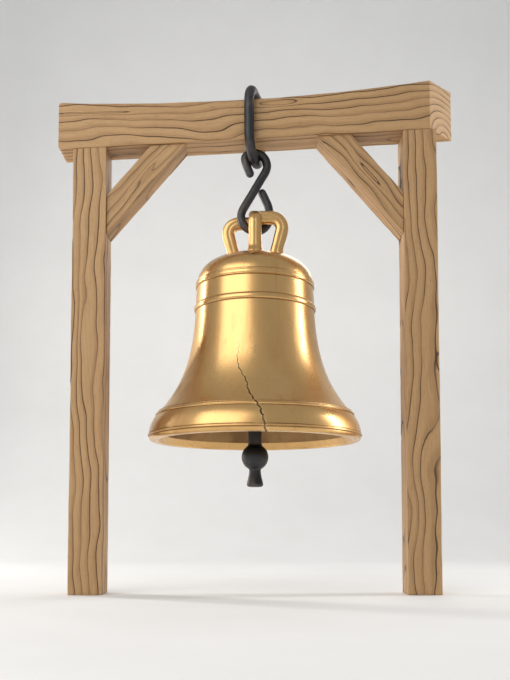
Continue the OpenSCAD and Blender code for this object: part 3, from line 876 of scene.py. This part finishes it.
# %% The shell
def bell_shell(columns):
    rim = rim_rows()
    rows = np.concatenate([outer_rows, rim, beside_rows, above_rows])
    grid = turned(rows, columns)
    wide, count = columns + 1, len(rows) * (columns + 1)
    points, faces = [grid.reshape(-1, 3)], [grid_faces(len(rows), wide)]
    # Caps on the axis at the head, outside and inside.
    for row, height in ((0, HEAD_Z), (len(rows) - 1, LIP_Z + HOLLOW_H)):
        points.append([[MID_X, 0, height]])
        ring = row * wide + np.arange(wide)
        faces.append(np.stack([ring[:-1], ring[1:], np.full(columns, count)], 1))
        count += 1
    for wall in crack_walls(grid, outer_rows, len(rim), beside_rows):
        points.append(wall.reshape(-1, 3))
        faces.append(grid_faces(*wall.shape[:2], count))
        count += wall.shape[0] * wall.shape[1]
    made = mesh_object("bell_bronze", np.concatenate(points), faces, BRONZE)
    made.data.set_sharp_from_angle(angle=math.radians(38))
    print(f"{made.name}: {len(made.data.polygons)} faces")
    return made


bell = bell_shell(232)

# %% [markdown]
# ## Inside, and dirt and painted shade
# Two things differ over the bell's surface. Its inside is rough from the mould above a bright band
# that the founder turned, and dark lines lie at the feet of the bands outside: dirt, and painted
# shade in the creases there. Masks painted by hand would be lost with the next change of shape. So
# the faces get their material, and the points their dirt and painted shade, from where they lie on
# the outline.

# %% Finish the inside, paint the dirt and shade at the bands' feet
DIRT_AND_SHADE_W = 0.0026  # how wide a line of dirt and painted shade is
AT_WALL = 0.012  # a face this near the inside outline belongs to it


def leave_rough(made):
    """Give the inside above the tuned band its own finish."""
    made.data.materials.append(ROUGH_CAST)
    centre = np.array([face.center for face in made.data.polygons])
    r, z = np.hypot(centre[:, 0] - MID_X, centre[:, 1]), centre[:, 2] - LIP_Z
    inside = outline(INSIDE_CURVES, (60,) * 3)
    away = [np.hypot(inside[:, 0] - a, inside[:, 1] - b).min() for a, b in zip(r, z)]
    rough = (np.array(away) < AT_WALL) & (z > TUNED_H)
    made.data.polygons.foreach_set("material_index", rough.astype(int))
    print(f"{rough.sum()} of {len(rough)} faces left rough")


def paint_dirt_and_shade(made):
    """Store on each point how much dirt and painted shade it gets, at the feet of the bands."""
    at = np.array([point.co for point in made.data.vertices])
    r, z = np.hypot(at[:, 0] - MID_X, at[:, 1]), at[:, 2] - LIP_Z
    s = np.interp(-z, -OUTSIDE[:, 1], OUT_S)
    # Dark lines just outside each band's edges: dirt, and painted shade in the creases.
    foot_dirt_and_shade = sum(np.exp(-((np.abs(s - middle) - half - DIRT_AND_SHADE_W / 2) / DIRT_AND_SHADE_W) ** 2)
               for middle, half, _, _ in BANDS)
    foot_dirt_and_shade *= r > np.interp(z, OUTSIDE[::-1, 1], OUTSIDE[::-1, 0]) - WALL / 4
    made.data.attributes.new("foot_dirt_and_shade", "FLOAT", "POINT").data.foreach_set(
        "value", foot_dirt_and_shade.astype(np.float32))
    print(f"{(foot_dirt_and_shade > 0.5).sum()} points with dirt")


leave_rough(bell)
paint_dirt_and_shade(bell)
finish_piece(bell, "bell", "bell_bronze", "bell")

# %% [markdown]
# ## Forged and cast bars
# The ring, the hook and the crown are bars bent along a line: round where they are forged, squarish
# where they are cast. A curve object with a bevel would make a round bar, but neither the square
# section, nor the flared feet, nor the hammer marks. So one Geometry Nodes group sweeps a section
# along a path. Each point of the path carries its own radius, one input pushes the circle out
# towards a square, and noise dents the result.

# %% The group's inputs
BAR_INPUTS = (
    ("Geometry", "Geometry", None), ("Width", "Float", 1.0), ("Depth", "Float", 1.0),
    ("Squareness", "Float", 0.0), ("Segments", "Int", 40), ("Hammer Depth", "Float", 0.0008),
    ("Hammer Marks", "Float", 26.0), ("Closed Ends", "Bool", True), ("Material", "Material", None))
CORNER_OUT = 0.42  # at full Squareness a corner moves out by this times its smaller coordinate
DENT_LEVEL = 0.72  # noise below this level dents the bar, so that it stays inside its CAD node


def bar_interface():
    group = bpy.data.node_groups.new("forged_bar", "GeometryNodeTree")
    group.interface.new_socket("Geometry", in_out="OUTPUT", socket_type="NodeSocketGeometry")
    for name, kind, value in BAR_INPUTS:
        made = group.interface.new_socket(
            name, in_out="INPUT", socket_type="NodeSocket" + kind)
        if value is not None:
            made.default_value = value
    return group


print("a bar takes", ", ".join(name for name, _, _ in BAR_INPUTS))


# %% The group's nodes
def bar_section(g, given):
    """The circle, pushed out at its corners and scaled to its width and depth."""
    ring = g.node("GeometryNodeCurvePrimitiveCircle", given["Segments"])
    x, y, _ = g.node("ShaderNodeSeparateXYZ", g.node("GeometryNodeInputPosition")).outputs()
    corner = x.math("ABSOLUTE").math("MINIMUM", y.math("ABSOLUTE"))
    grow = given["Squareness"] * corner * CORNER_OUT + 1.0
    place = g.node("ShaderNodeCombineXYZ", x * grow * given["Width"], y * grow * given["Depth"])
    return g.node("GeometryNodeSetPosition", ring, None, place)


def bar_dents(g, given):
    """How far the noise pushes each point along its normal."""
    marks = g.node("ShaderNodeTexNoise", sockets={"Detail": 2.0, "Scale": given["Hammer Marks"]})
    dent = (marks - DENT_LEVEL) * given["Hammer Depth"] * 2.0
    return g.node("ShaderNodeVectorMath", g.node("GeometryNodeInputNormal"),
                  operation="SCALE", sockets={"Scale": dent})


def bar_group():
    """The node group: path in, hammered bar out."""
    group = bar_interface()
    g = Num(group)
    given = {socket.value.name: socket for socket in g.node("NodeGroupInput").outputs()}
    radius = g.node("GeometryNodeInputNamedAttribute", "bar_radius", data_type="FLOAT")
    path = g.node("GeometryNodeMeshToCurve", given["Geometry"])
    path = g.node("GeometryNodeSetCurveRadius", path, None, radius)
    sweep = g.node("GeometryNodeCurveToMesh", path, bar_section(g, given),
                   sockets={"Scale": radius, "Fill Caps": given["Closed Ends"]})
    dented = g.node("GeometryNodeSetPosition", sweep, None, None, bar_dents(g, given))
    done = g.node("GeometryNodeSetShadeSmooth", dented)
    done = g.node("GeometryNodeRealizeInstances", done)
    done = g.node("GeometryNodeSetMaterial", done, None, given["Material"])
    g.node("NodeGroupOutput", done)
    print(f"{group.name}: {len(group.nodes)} nodes")
    return group


BAR = bar_group()


# %% From a path to a bar
def bar(name, points, radii, material, closed=False, **settings):
    """A bar along a path, with the node group's result kept as a plain mesh."""
    mesh = bpy.data.meshes.new(name + "_path")
    count = len(points)
    edges = [(i, (i + 1) % count) for i in range(count if closed else count - 1)]
    mesh.from_pydata(np.asarray(points).tolist(), edges, [])
    mesh.attributes.new("bar_radius", "FLOAT", "POINT").data.foreach_set(
        "value", np.broadcast_to(radii, (count,)).astype(np.float32))
    made = bpy.data.objects.new(name, mesh)
    bpy.context.scene.collection.objects.link(made)
    swept = made.modifiers.new("bar", "NODES")
    swept.node_group = BAR
    settings = {"Material": material, "Closed Ends": not closed, **settings}
    for item in BAR.interface.items_tree:
        if item.in_out == "INPUT" and item.name in settings:
            swept[item.identifier] = settings[item.name]
    bpy.context.view_layer.update()
    solid = bpy.data.meshes.new_from_object(
        made.evaluated_get(bpy.context.evaluated_depsgraph_get()))
    made.modifiers.clear()
    made.data = solid
    print(f"{name}: {len(solid.polygons)} faces")
    return made


# %% Paths
PATH_STEP = 0.004
SKIN = 0.0005  # how far a bar lies inside its CAD node, for the hammer marks


def arc(cx, cz, r, start, stop, step=PATH_STEP):
    """Points of an arc, with angles in degrees."""
    count = max(3, int(abs(math.radians(stop - start)) * abs(r) / step))
    a = np.radians(np.linspace(start, stop, count + 1))
    return np.stack([cx + r * np.cos(a), cz + r * np.sin(a)], 1)


def join(*parts, step=PATH_STEP):
    """One path through all the parts, with even steps."""
    path = np.concatenate([np.asarray(part, float).reshape(-1, 2) for part in parts])
    path = path[np.append(True, np.linalg.norm(np.diff(path, axis=0), axis=1) > 1e-6)]
    whole = lengths(path)[-1]
    return at_lengths(path, np.linspace(0, whole, int(whole / step) + 1))


def smooth(path, passes):
    for _ in range(passes):
        path[1:-1] = (path[:-2] + 2 * path[1:-1] + path[2:]) / 4
    return path


def in_plane(path, turn, x, y=0.0):
    """A path drawn in a plane (across, up), set upright and turned about Z."""
    c, s = math.cos(turn), math.sin(turn)
    return np.stack([x + path[:, 0] * c, y + path[:, 0] * s, path[:, 1]], 1)


print(f"a quarter turn of 0.1 m has {len(arc(0, 0, 0.1, 0, 90))} points")

# %% [markdown]
# ## Ring
# A long closed link of round bar lies over the beam's edges and hangs below it. A torus can't be
# long, so its path is a half circle below, two straight legs and two rounded corners above. Its
# size and its turn about the vertical are read from the CAD node and from the hook's joint, whose
# axis lies in the ring's plane.

# %% Make the ring
ring_box, hook_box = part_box("hanging_ring"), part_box("s_hook")
sway, swing = (next(joint for joint in frame["joints"] if joint["name"] == name)
               for name in ("hook_sway", "bell_swing"))
RING_TURN = math.atan2(sway["axis"][1], sway["axis"][0])
HOOK_TURN = math.atan2(swing["axis"][1], swing["axis"][0])
RING_CORNER = 0.098
print(f"ring turned {math.degrees(RING_TURN):.0f}, hook {math.degrees(HOOK_TURN):.0f} degrees")


def make_ring():
    wide, deep = ((ring_box[1] - ring_box[0]) / 2)[:2]
    turn = math.pi / 2 - RING_TURN
    reach = (deep - wide) / (math.cos(turn) - math.sin(turn))
    r = wide - reach * math.sin(turn)
    low, top = ring_box[0].z + r + reach, ring_box[1].z - r
    across, up = reach - RING_CORNER, top - RING_CORNER
    path = join(arc(0, low, reach, -90, 0), arc(across, up, RING_CORNER, 0, 90),
                arc(-across, up, RING_CORNER, 90, 180), arc(0, low, reach, 180, 270))
    path = smooth(path[:-1], 3)
    made = bar("hanging_ring_iron", in_plane(path, RING_TURN, MID_X), r - SKIN, IRON,
               closed=True, Segments=44)
    return finish_piece(made, "frame", "wrought_iron", "hanging_ring")


make_ring()

# %% [markdown]
# ## S-hook
# A smith bends an S-hook from one bar: a shank that touches both eyes, a curled tip above, and a
# long free leg below that ends behind the shank. A hand-drawn Bezier curve would need many handles
# to keep the shank straight. Two arcs and their common tangent give the S, a few points more give
# the tip and the leg, and smoothing rounds the bends between them.

# %% Make the hook
HOOK_R, UPPER_EYE, LOWER_EYE = 0.025, 0.072, 0.082  # the bar, and the two bends at its middle
HOOK_TIP = ((0.006, -0.020), (0.016, -0.050), (0.030, -0.082), (0.042, -0.110))
HOOK_LEG = ((0.017, 0.035), (0.021, 0.080), (0.012, 0.130), (-0.010, 0.180), (-0.034, 0.222))
LEG_BEHIND = 0.037  # how far back the free leg ends
LEG_FROM, LEG_TO = 0.255, 0.065  # it leans back between these lengths from its end
THIN_END = 0.0004  # a bar can't end in a point


def rounded_ends(path, r):
    """Bar radii that close each end in a dome."""
    whole = lengths(path)
    t = np.clip(np.minimum(whole, whole[-1] - whole) / r, 0, 1)
    return np.maximum(r * np.sqrt(1 - (1 - t) ** 2), THIN_END)


def make_hook():
    top = np.array([0, hook_box[1].z - UPPER_EYE - HOOK_R])
    bottom = np.array([0, hook_box[0].z + LOWER_EYE + HOOK_R])
    slant = math.asin((UPPER_EYE + LOWER_EYE) / (top[1] - bottom[1]))
    lean = math.degrees(slant)
    side = np.array([math.cos(slant), -math.sin(slant)])
    curl, leg = top - side * UPPER_EYE, bottom + side * LOWER_EYE
    path = join([curl + step for step in HOOK_TIP[::-1]], arc(*top, UPPER_EYE, 180 - lean, -lean),
                arc(*bottom, LOWER_EYE, 180 - lean, 360 - lean), [leg + step for step in HOOK_LEG])
    path = smooth(path, 16)
    whole = lengths(path)
    behind = LEG_BEHIND * ramp(whole, whole[-1] - LEG_FROM, whole[-1] - LEG_TO)
    bent = in_plane(path, HOOK_TURN, MID_X)
    bent[:, 0] -= behind * math.sin(HOOK_TURN)
    bent[:, 1] += behind * math.cos(HOOK_TURN)
    made = bar("s_hook_iron", bent, rounded_ends(path, HOOK_R - SKIN), IRON, Segments=40)
    return finish_piece(made, "hook", "wrought_iron", "s_hook")


make_hook()

# %% [markdown]
# ## Crown
# The crown is cast in one with the bell: a thick arch from front to back, which the hook passes
# through, and a strap loop to each side. Three boxes with a Subdivision modifier would come close,
# but their feet would have to be sculpted. The same bars serve, squarer, with radii that flare
# where they run into the head.

# %% The arch
crown_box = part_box("crown")
CROWN_R = 0.037
CROWN_SKIN = 0.0004  # the cast bars lie this far inside their CAD node
AXIS_Z = crown_box[1].z - CROWN_R
CAST = {"Segments": 48, "Depth": 0.97, "Hammer Depth": 0.0004}


def crown_arch():
    span, bend, foot = 0.100, 0.047, HEAD_Z - 0.030
    path = join([(-span - 0.012, foot), (-span - 0.001, foot + 0.05), (-span, foot + 0.09)],
                arc(bend - span, AXIS_Z - bend, bend, 180, 90),
                arc(span - bend, AXIS_Z - bend, bend, 90, 0),
                [(span, foot + 0.09), (span + 0.001, foot + 0.05), (span + 0.012, foot)])
    path = smooth(path, 8)
    flare = 0.010 * power_of_e(-np.maximum(path[:, 1] - foot - 0.02, 0) / 0.028)
    return bar("crown_arch", in_plane(path, math.pi / 2, MID_X), CROWN_R - CROWN_SKIN + flare,
               BRONZE, Squareness=0.55, Width=0.97, **CAST)


arch = crown_arch()

# %% The side loops
LOOP_REACH, LOOP_BEND, LOOP_LEAN = 0.155, 0.062, 15  # metres out, radius, degrees at the leg
LOOP_THICK, LOOP_WIDE, LOOP_SET_OFF = 0.026, 0.036, 0.050


def crown_loop(name, side):
    foot, lean = HEAD_Z - 0.060, math.radians(LOOP_LEAN)
    cx, cz = LOOP_REACH - LOOP_BEND, AXIS_Z - LOOP_BEND
    turn_end = np.array([cx + LOOP_BEND * math.cos(lean), cz - LOOP_BEND * math.sin(lean)])
    leg = turn_end + np.array([-math.sin(lean), -math.cos(lean)]) * 0.105
    path = join([(-0.006, AXIS_Z), (0.02, AXIS_Z)], arc(cx, cz, LOOP_BEND, 90, -LOOP_LEAN),
                [leg, leg + (-0.004, -0.025), leg + (0.003, foot - leg[1])])
    path = smooth(path, 10)
    height = path[:, 1] - HEAD_Z
    flare = 1 + 0.22 * power_of_e(-np.maximum(height + 0.02, 0) / 0.03)
    pinch = 1 - 0.07 * power_of_e(-((height - 0.05) / 0.03) ** 2)
    path[:, 0] *= side
    return bar(name, in_plane(path, 0.0, MID_X, -LOOP_SET_OFF * side),
               LOOP_WIDE * flare * pinch, BRONZE,
               Squareness=0.75, Width=LOOP_THICK / LOOP_WIDE * 0.95, **CAST)


loops = [crown_loop("crown_loop_right", 1), crown_loop("crown_loop_left", -1)]


# %% Join the crown
def joined(name, *objects):
    """Several objects as one piece."""
    with bpy.context.temp_override(
            active_object=objects[0], selected_editable_objects=list(objects)):
        bpy.ops.object.join()
    objects[0].name = name
    print(f"{name}: {len(objects)} parts, {len(objects[0].data.polygons)} faces")
    return objects[0]


finish_piece(joined("crown_bronze", arch, *loops), "bell", "bell_bronze", "crown")

# %% [markdown]
# ## Clapper
# A clapper is forged in one: an eye for the pin, a shaft that swells towards its ball, and a short
# flight below the ball that gives it weight. It is round, so its outline is turned, with a small
# lathe function that works on rows of (radius, height). The eye is a squarish closed bar. The
# outline's steps are joined and smoothed first, so that no corner stays between its curves.

# %% A small lathe
def lathe(name, rows, material, columns=96, centre=(MID_X, 0.0), along=None):
    """Rows of (radius, height) turned round the vertical, or round Y when along is a height."""
    t = np.linspace(0, 2 * math.pi, columns + 1)
    r, z = rows[:, :1], np.broadcast_to(rows[:, 1:], (len(rows), columns + 1))
    a, b = r * np.cos(t), r * np.sin(t)
    if along is None:
        points = np.stack([centre[0] + a, centre[1] + b, z], 2)
    else:
        points = np.stack([centre[0] + a, z, along + b], 2)
    faces = [grid_faces(len(rows), columns + 1)]
    print(f"{name}: {len(rows)} rows turned in {columns} steps")
    return mesh_object(name, points.reshape(-1, 3), faces, material)


# %% Outline of the clapper
clapper_box, pin_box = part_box("clapper"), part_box("clapper_pin")
PIN_Z = (pin_box[0].z + pin_box[1].z) / 2
PIN_R = (pin_box[1].z - pin_box[0].z) / 2
BALL_R, SHAFT_R, TAIL = 0.076, 0.038, 0.170
BALL_Z = clapper_box[0].z + TAIL
BALL_DOWN = 64  # degrees below the ball's middle, where the flight leaves it
print(f"pin at {PIN_Z:.3f} m, ball at {BALL_Z:.3f} m, flight {TAIL - BALL_R:.3f} m below the ball")


def shaft_curves():
    neck, top_r = BALL_Z + 1.03 * BALL_R, 0.58 * SHAFT_R
    swell, waist = [SHAFT_R, neck + 0.22 * BELL_H], [SHAFT_R, neck]
    return [
        ([top_r, PIN_Z], [top_r, PIN_Z - 0.1 * BELL_R], [0.63 * SHAFT_R, PIN_Z - 0.3 * BELL_H],
         swell),
        (swell, [SHAFT_R, neck + 0.15 * BELL_H], [SHAFT_R, neck + 0.05], waist),
        (waist, [SHAFT_R, neck - 0.18 * BALL_R], [0.52 * BALL_R, BALL_Z + 0.86 * BALL_R],
         [0.7 * BALL_R, BALL_Z + 0.714 * BALL_R])]


def flight_curves():
    low, end = BALL_Z - BALL_R * math.sin(math.radians(BALL_DOWN)), BALL_Z - TAIL
    r = 0.62 * BALL_R
    return [
        ([0.43 * BALL_R, low - 0.1 * BALL_R], [0.46 * BALL_R, end + 0.66 * BALL_R],
         [r, end + 0.34 * BALL_R], [r, end + 0.18 * BALL_R]),
        ([r, end + 0.18 * BALL_R], [r, end + 0.05 * BALL_R], [0.8 * r, end], [0.5 * r, end])]


def clapper_rows():
    rows = np.concatenate([
        outline(shaft_curves(), (24, 10, 14)), arc(0, BALL_Z, BALL_R, 45.6, -BALL_DOWN, 0.003),
        outline(flight_curves(), (22, 12)), [[0.0, BALL_Z - TAIL]]])
    rows = join(rows, step=0.0032)
    rows[1:-1, 0] = smooth(rows.copy(), 4)[1:-1, 0]
    return np.concatenate([[[0.0, PIN_Z]], rows])


# %% Make the clapper
EYE_R, EYE_THICK, EYE_WIDE = 1.6 * PIN_R, 0.58 * PIN_R, 2.4 * PIN_R


def make_clapper():
    body = lathe("clapper_iron", clapper_rows(), IRON)
    circle = arc(0, PIN_Z, EYE_R, 0, 360, 0.003)[:-1]
    eye = bar("eye", in_plane(circle, 0.0, MID_X), EYE_THICK, IRON, closed=True,
              Squareness=0.8, Depth=EYE_WIDE / (2 * EYE_THICK) * 0.82, Segments=24)
    return finish_piece(joined("clapper_iron", body, eye), "clapper", "wrought_iron", "clapper")


make_clapper()

# %% [markdown]
# ## Staple and pin
# Two flat lugs, let into the bell's head, hold the pin that the clapper swings on. They are plates
# with a round lower end. A Bevel modifier would take their edges off too, but a plate of four rings
# of points needs no modifier, and its flat faces stay flat. The pin is turned on the lathe above,
# lying along Y, with its ends rounded.

# %% Make the staple
staple_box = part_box("clapper_staple")
LUG_R, LUG_IN, LUG_THICK = 1.9 * PIN_R, 1.2 * PIN_R + 0.003, 0.9 * PIN_R


def plate(name, flat, low_y, high_y, material, bevel=0.002):
    """A flat outline (x, z) as a plate between two depths, with bevelled edges."""
    centre = flat.mean(axis=0)
    shrink = 1 - bevel / np.linalg.norm(flat - centre, axis=1).max()
    small = centre + (flat - centre) * shrink
    rings = [(small, low_y), (flat, low_y + bevel), (flat, high_y - bevel), (small, high_y)]
    points = np.concatenate(
        [np.stack([ring[:, 0], np.full(len(ring), y), ring[:, 1]], 1) for ring, y in rings])
    n = len(flat)
    i = np.arange(n)
    j = (i + 1) % n
    sides = [np.stack([k + i, k + j, k + n + j, k + n + i], 1) for k in (0, n, 2 * n)]
    return mesh_object(name, points, [*sides, i[None], 3 * n + i[None]], material, smooth=False)


def make_staple():
    top = staple_box[1].z - 0.004
    low = arc(MID_X, PIN_Z, LUG_R, 180, 360)
    flat = np.concatenate([low, [(MID_X + LUG_R * 1.05, top), (MID_X - LUG_R * 1.05, top)]])
    lugs = [plate(f"lug{side}", flat, *sorted((side * LUG_IN, side * (LUG_IN + LUG_THICK))), IRON)
            for side in (-1, 1)]
    return finish_piece(joined("clapper_staple_iron", *lugs), "bell", "wrought_iron",
                        "clapper_staple")


make_staple()


# %% Make the pin
def make_pin():
    half = (pin_box[1].y - pin_box[0].y) / 2
    low = np.array([(0.0, -half), (0.6 * PIN_R, -half), (0.93 * PIN_R, -half + 0.0012),
                    (PIN_R, -half + 0.004)])
    rows = np.concatenate([low, low[::-1] * (1, -1)])
    made = lathe("clapper_pin_iron", rows, IRON, 48, along=PIN_Z)
    print(f"pin: {2 * half:.3f} m long")
    return finish_piece(made, "bell", "wrought_iron", "clapper_pin")


make_pin()

# %% [markdown]
# ## Pegs
# Carpenters pin a mortise and tenon with pegs of split oak. They are split and shaved, not turned,
# so they have facets. These are driven from the back and show only their ends there. Each CAD node
# holds two pegs, so its points are parted at the middle, and each peg is turned with nine flat
# sides. The split wood gets its own finish, with fibres along Y.

# %% Split oak
SPLIT_PALE, SPLIT_DEEP = (0.46, 0.29, 0.13), (0.20, 0.11, 0.045)


def peg_oak():
    material, tree, shader = clear_material("peg_oak")
    fibre = stretched_noise(object_place(tree), 1.0, (300.0, 20.0, 300.0), 4.0, 0.6)
    mixed(fibre, SPLIT_PALE, SPLIT_DEEP).feed(shader, "Base Color")
    (0.5 + 0.25 * fibre).feed(shader, "Roughness")
    bumped(shader, fibre, 0.0008, 0.7)
    print(f"{material.name}: {len(tree.nodes)} nodes")
    return material


PEG_OAK = peg_oak()


# %% Make the pegs
def make_peg(name, peg):
    """One peg from its CAD points: a tapered front end and a chamfered back end."""
    centre = (peg.min(axis=0) + peg.max(axis=0)) / 2
    r = (peg[:, 0].max() - peg[:, 0].min()) / 2
    back, start = peg[:, 1].max(), peg[:, 1].min()
    rows = np.array([(0.0, start), (0.7 * r, start), (0.97 * r, start + 0.01),
                     (0.97 * r, back - 0.004), (0.86 * r, back - 0.0008), (0.4 * r, back),
                     (0.0, back)])
    made = lathe(name, rows, PEG_OAK, 9, (centre[0], 0.0), along=centre[2])
    made.data.shade_flat()
    return made


def make_pegs(node):
    points = cad_points(node)
    low, high = points.min(axis=0), points.max(axis=0)
    across = 0 if high[0] - low[0] > high[2] - low[2] else 2
    first = points[:, across] < (low[across] + high[across]) / 2
    pegs = [make_peg(f"{node}_{k}", peg) for k, peg in enumerate((points[first], points[~first]))]
    return finish_piece(joined(node + "_oak", *pegs), "frame", "oak", node)


for node in ("left_post_pegs", "right_post_pegs", "left_brace_pegs", "right_brace_pegs"):
    make_pegs(node)

# %% [markdown]
# ## Floor
# A pale floor that curves up behind, as paper does in a studio, so that no horizon cuts the frame.
# A plane and a world colour would leave a line.

# %% Make the floor
FLOOR_GREY, FLOOR_WHITE = (0.86, 0.85, 0.83), (0.93, 0.925, 0.91)


def make_floor():
    material, tree, shader = clear_material("pale_floor")
    cloud = stretched_noise(object_place(tree), 1.4, (1.0, 1.0, 1.0), 5.0, 0.55)
    mixed(cloud, FLOOR_GREY, FLOOR_WHITE).feed(shader, "Base Color")
    (0.75 + 0.15 * cloud).feed(shader, "Roughness")
    sweep = arc(0.0, 3.2, 3.2, -90, 0, 0.1) + (4.0, 0.0)
    rows = np.concatenate([[(-9.0, 0.0)], sweep, [(7.2, 12.0)]])
    across = np.linspace(-16, 18, 18)
    points = np.array([(x, y, z) for y, z in rows for x in across])
    floor = mesh_object("floor", points, [grid_faces(len(rows), len(across))], material)
    print(f"floor: {len(floor.data.polygons)} faces")


make_floor()

# %% [markdown]
# ## Light
# Metal shows what it reflects. One large soft lamp gives the timbers their shade and fills the bell
# with an even tone. Two tall narrow lamps stand far to the left and right, and their reflections
# run down the bell as bright streaks. The world lights the rest, at a level where the pale floor
# stays just under white. A sky texture would be less work, but it has no narrow lamps to reflect.

# %% Light the frame
WARM, SOFT = (1.0, 0.965, 0.91), (1.0, 0.98, 0.95)
SKY, SKY_LEVEL = (0.93, 0.96, 1.0, 1.0), 0.46


def lamp(name, power, size, at, colour=(1, 1, 1), tall=None):
    """An area lamp aimed at the middle of the frame."""
    data = bpy.data.lights.new(name, "AREA")
    data.energy, data.size, data.color = power, size, colour
    if tall:
        data.shape, data.size_y = "RECTANGLE", tall
    made = bpy.data.objects.new(name, data)
    bpy.context.scene.collection.objects.link(made)
    made.location = at
    aim = Vector((MID_X, 0.0, 1.6)) - Vector(at)
    made.rotation_euler = aim.to_track_quat("-Z", "Y").to_euler()
    print(f"lamp {name}: {power} W")


world = bpy.data.worlds.new("plain_sky")
world.use_nodes = True
background = next(n for n in world.node_tree.nodes if n.type == "BACKGROUND")
background.inputs["Color"].default_value = SKY
background.inputs["Strength"].default_value = SKY_LEVEL
bpy.context.scene.world = world

lamp("key", 210, 6.0, (MID_X - 3.6, -4.6, 4.0), WARM, 5.6)
lamp("left_streak", 240, 0.60, (MID_X - 6.0, 2.70, 2.6), SOFT, 4.4)
lamp("right_streak", 215, 0.60, (MID_X + 6.2, 0.60, 2.6), SOFT, 4.4)
lamp("back", 28, 2.0, (MID_X + 1.2, 3.6, 4.2))

# %% [markdown]
# ## Camera
# The drawing looks up slightly from near the ground: the underside of the beam shows, and so does
# the mouth of the bell. A camera turned up steeply would make the posts lean together. So it stands
# low, tilts a little, and its shift lifts the picture, which keeps upright edges nearly upright.

# %% Set the camera
LENS, SHIFT_UP, TILT = 44.9, 0.19, 3.6  # millimetres, parts of the picture, degrees
BACK_OFF, EYE_Z = 4.8, 0.40  # metres in front of the frame and over the floor


def make_camera():
    data = bpy.data.cameras.new("camera")
    data.lens, data.sensor_width, data.shift_y = LENS, 36.0, SHIFT_UP
    made = bpy.data.objects.new("camera", data)
    bpy.context.scene.collection.objects.link(made)
    made.location = (MID_X, -BACK_OFF, EYE_Z)
    made.rotation_euler = (math.radians(90 + TILT), 0.0, 0.0)
    bpy.context.scene.camera = made
    print(f"camera: {LENS} mm lens, {EYE_Z} m over the floor, {BACK_OFF} m in front")


make_camera()
view = bpy.context.scene.view_settings
view.view_transform, view.look = "Standard", "None"
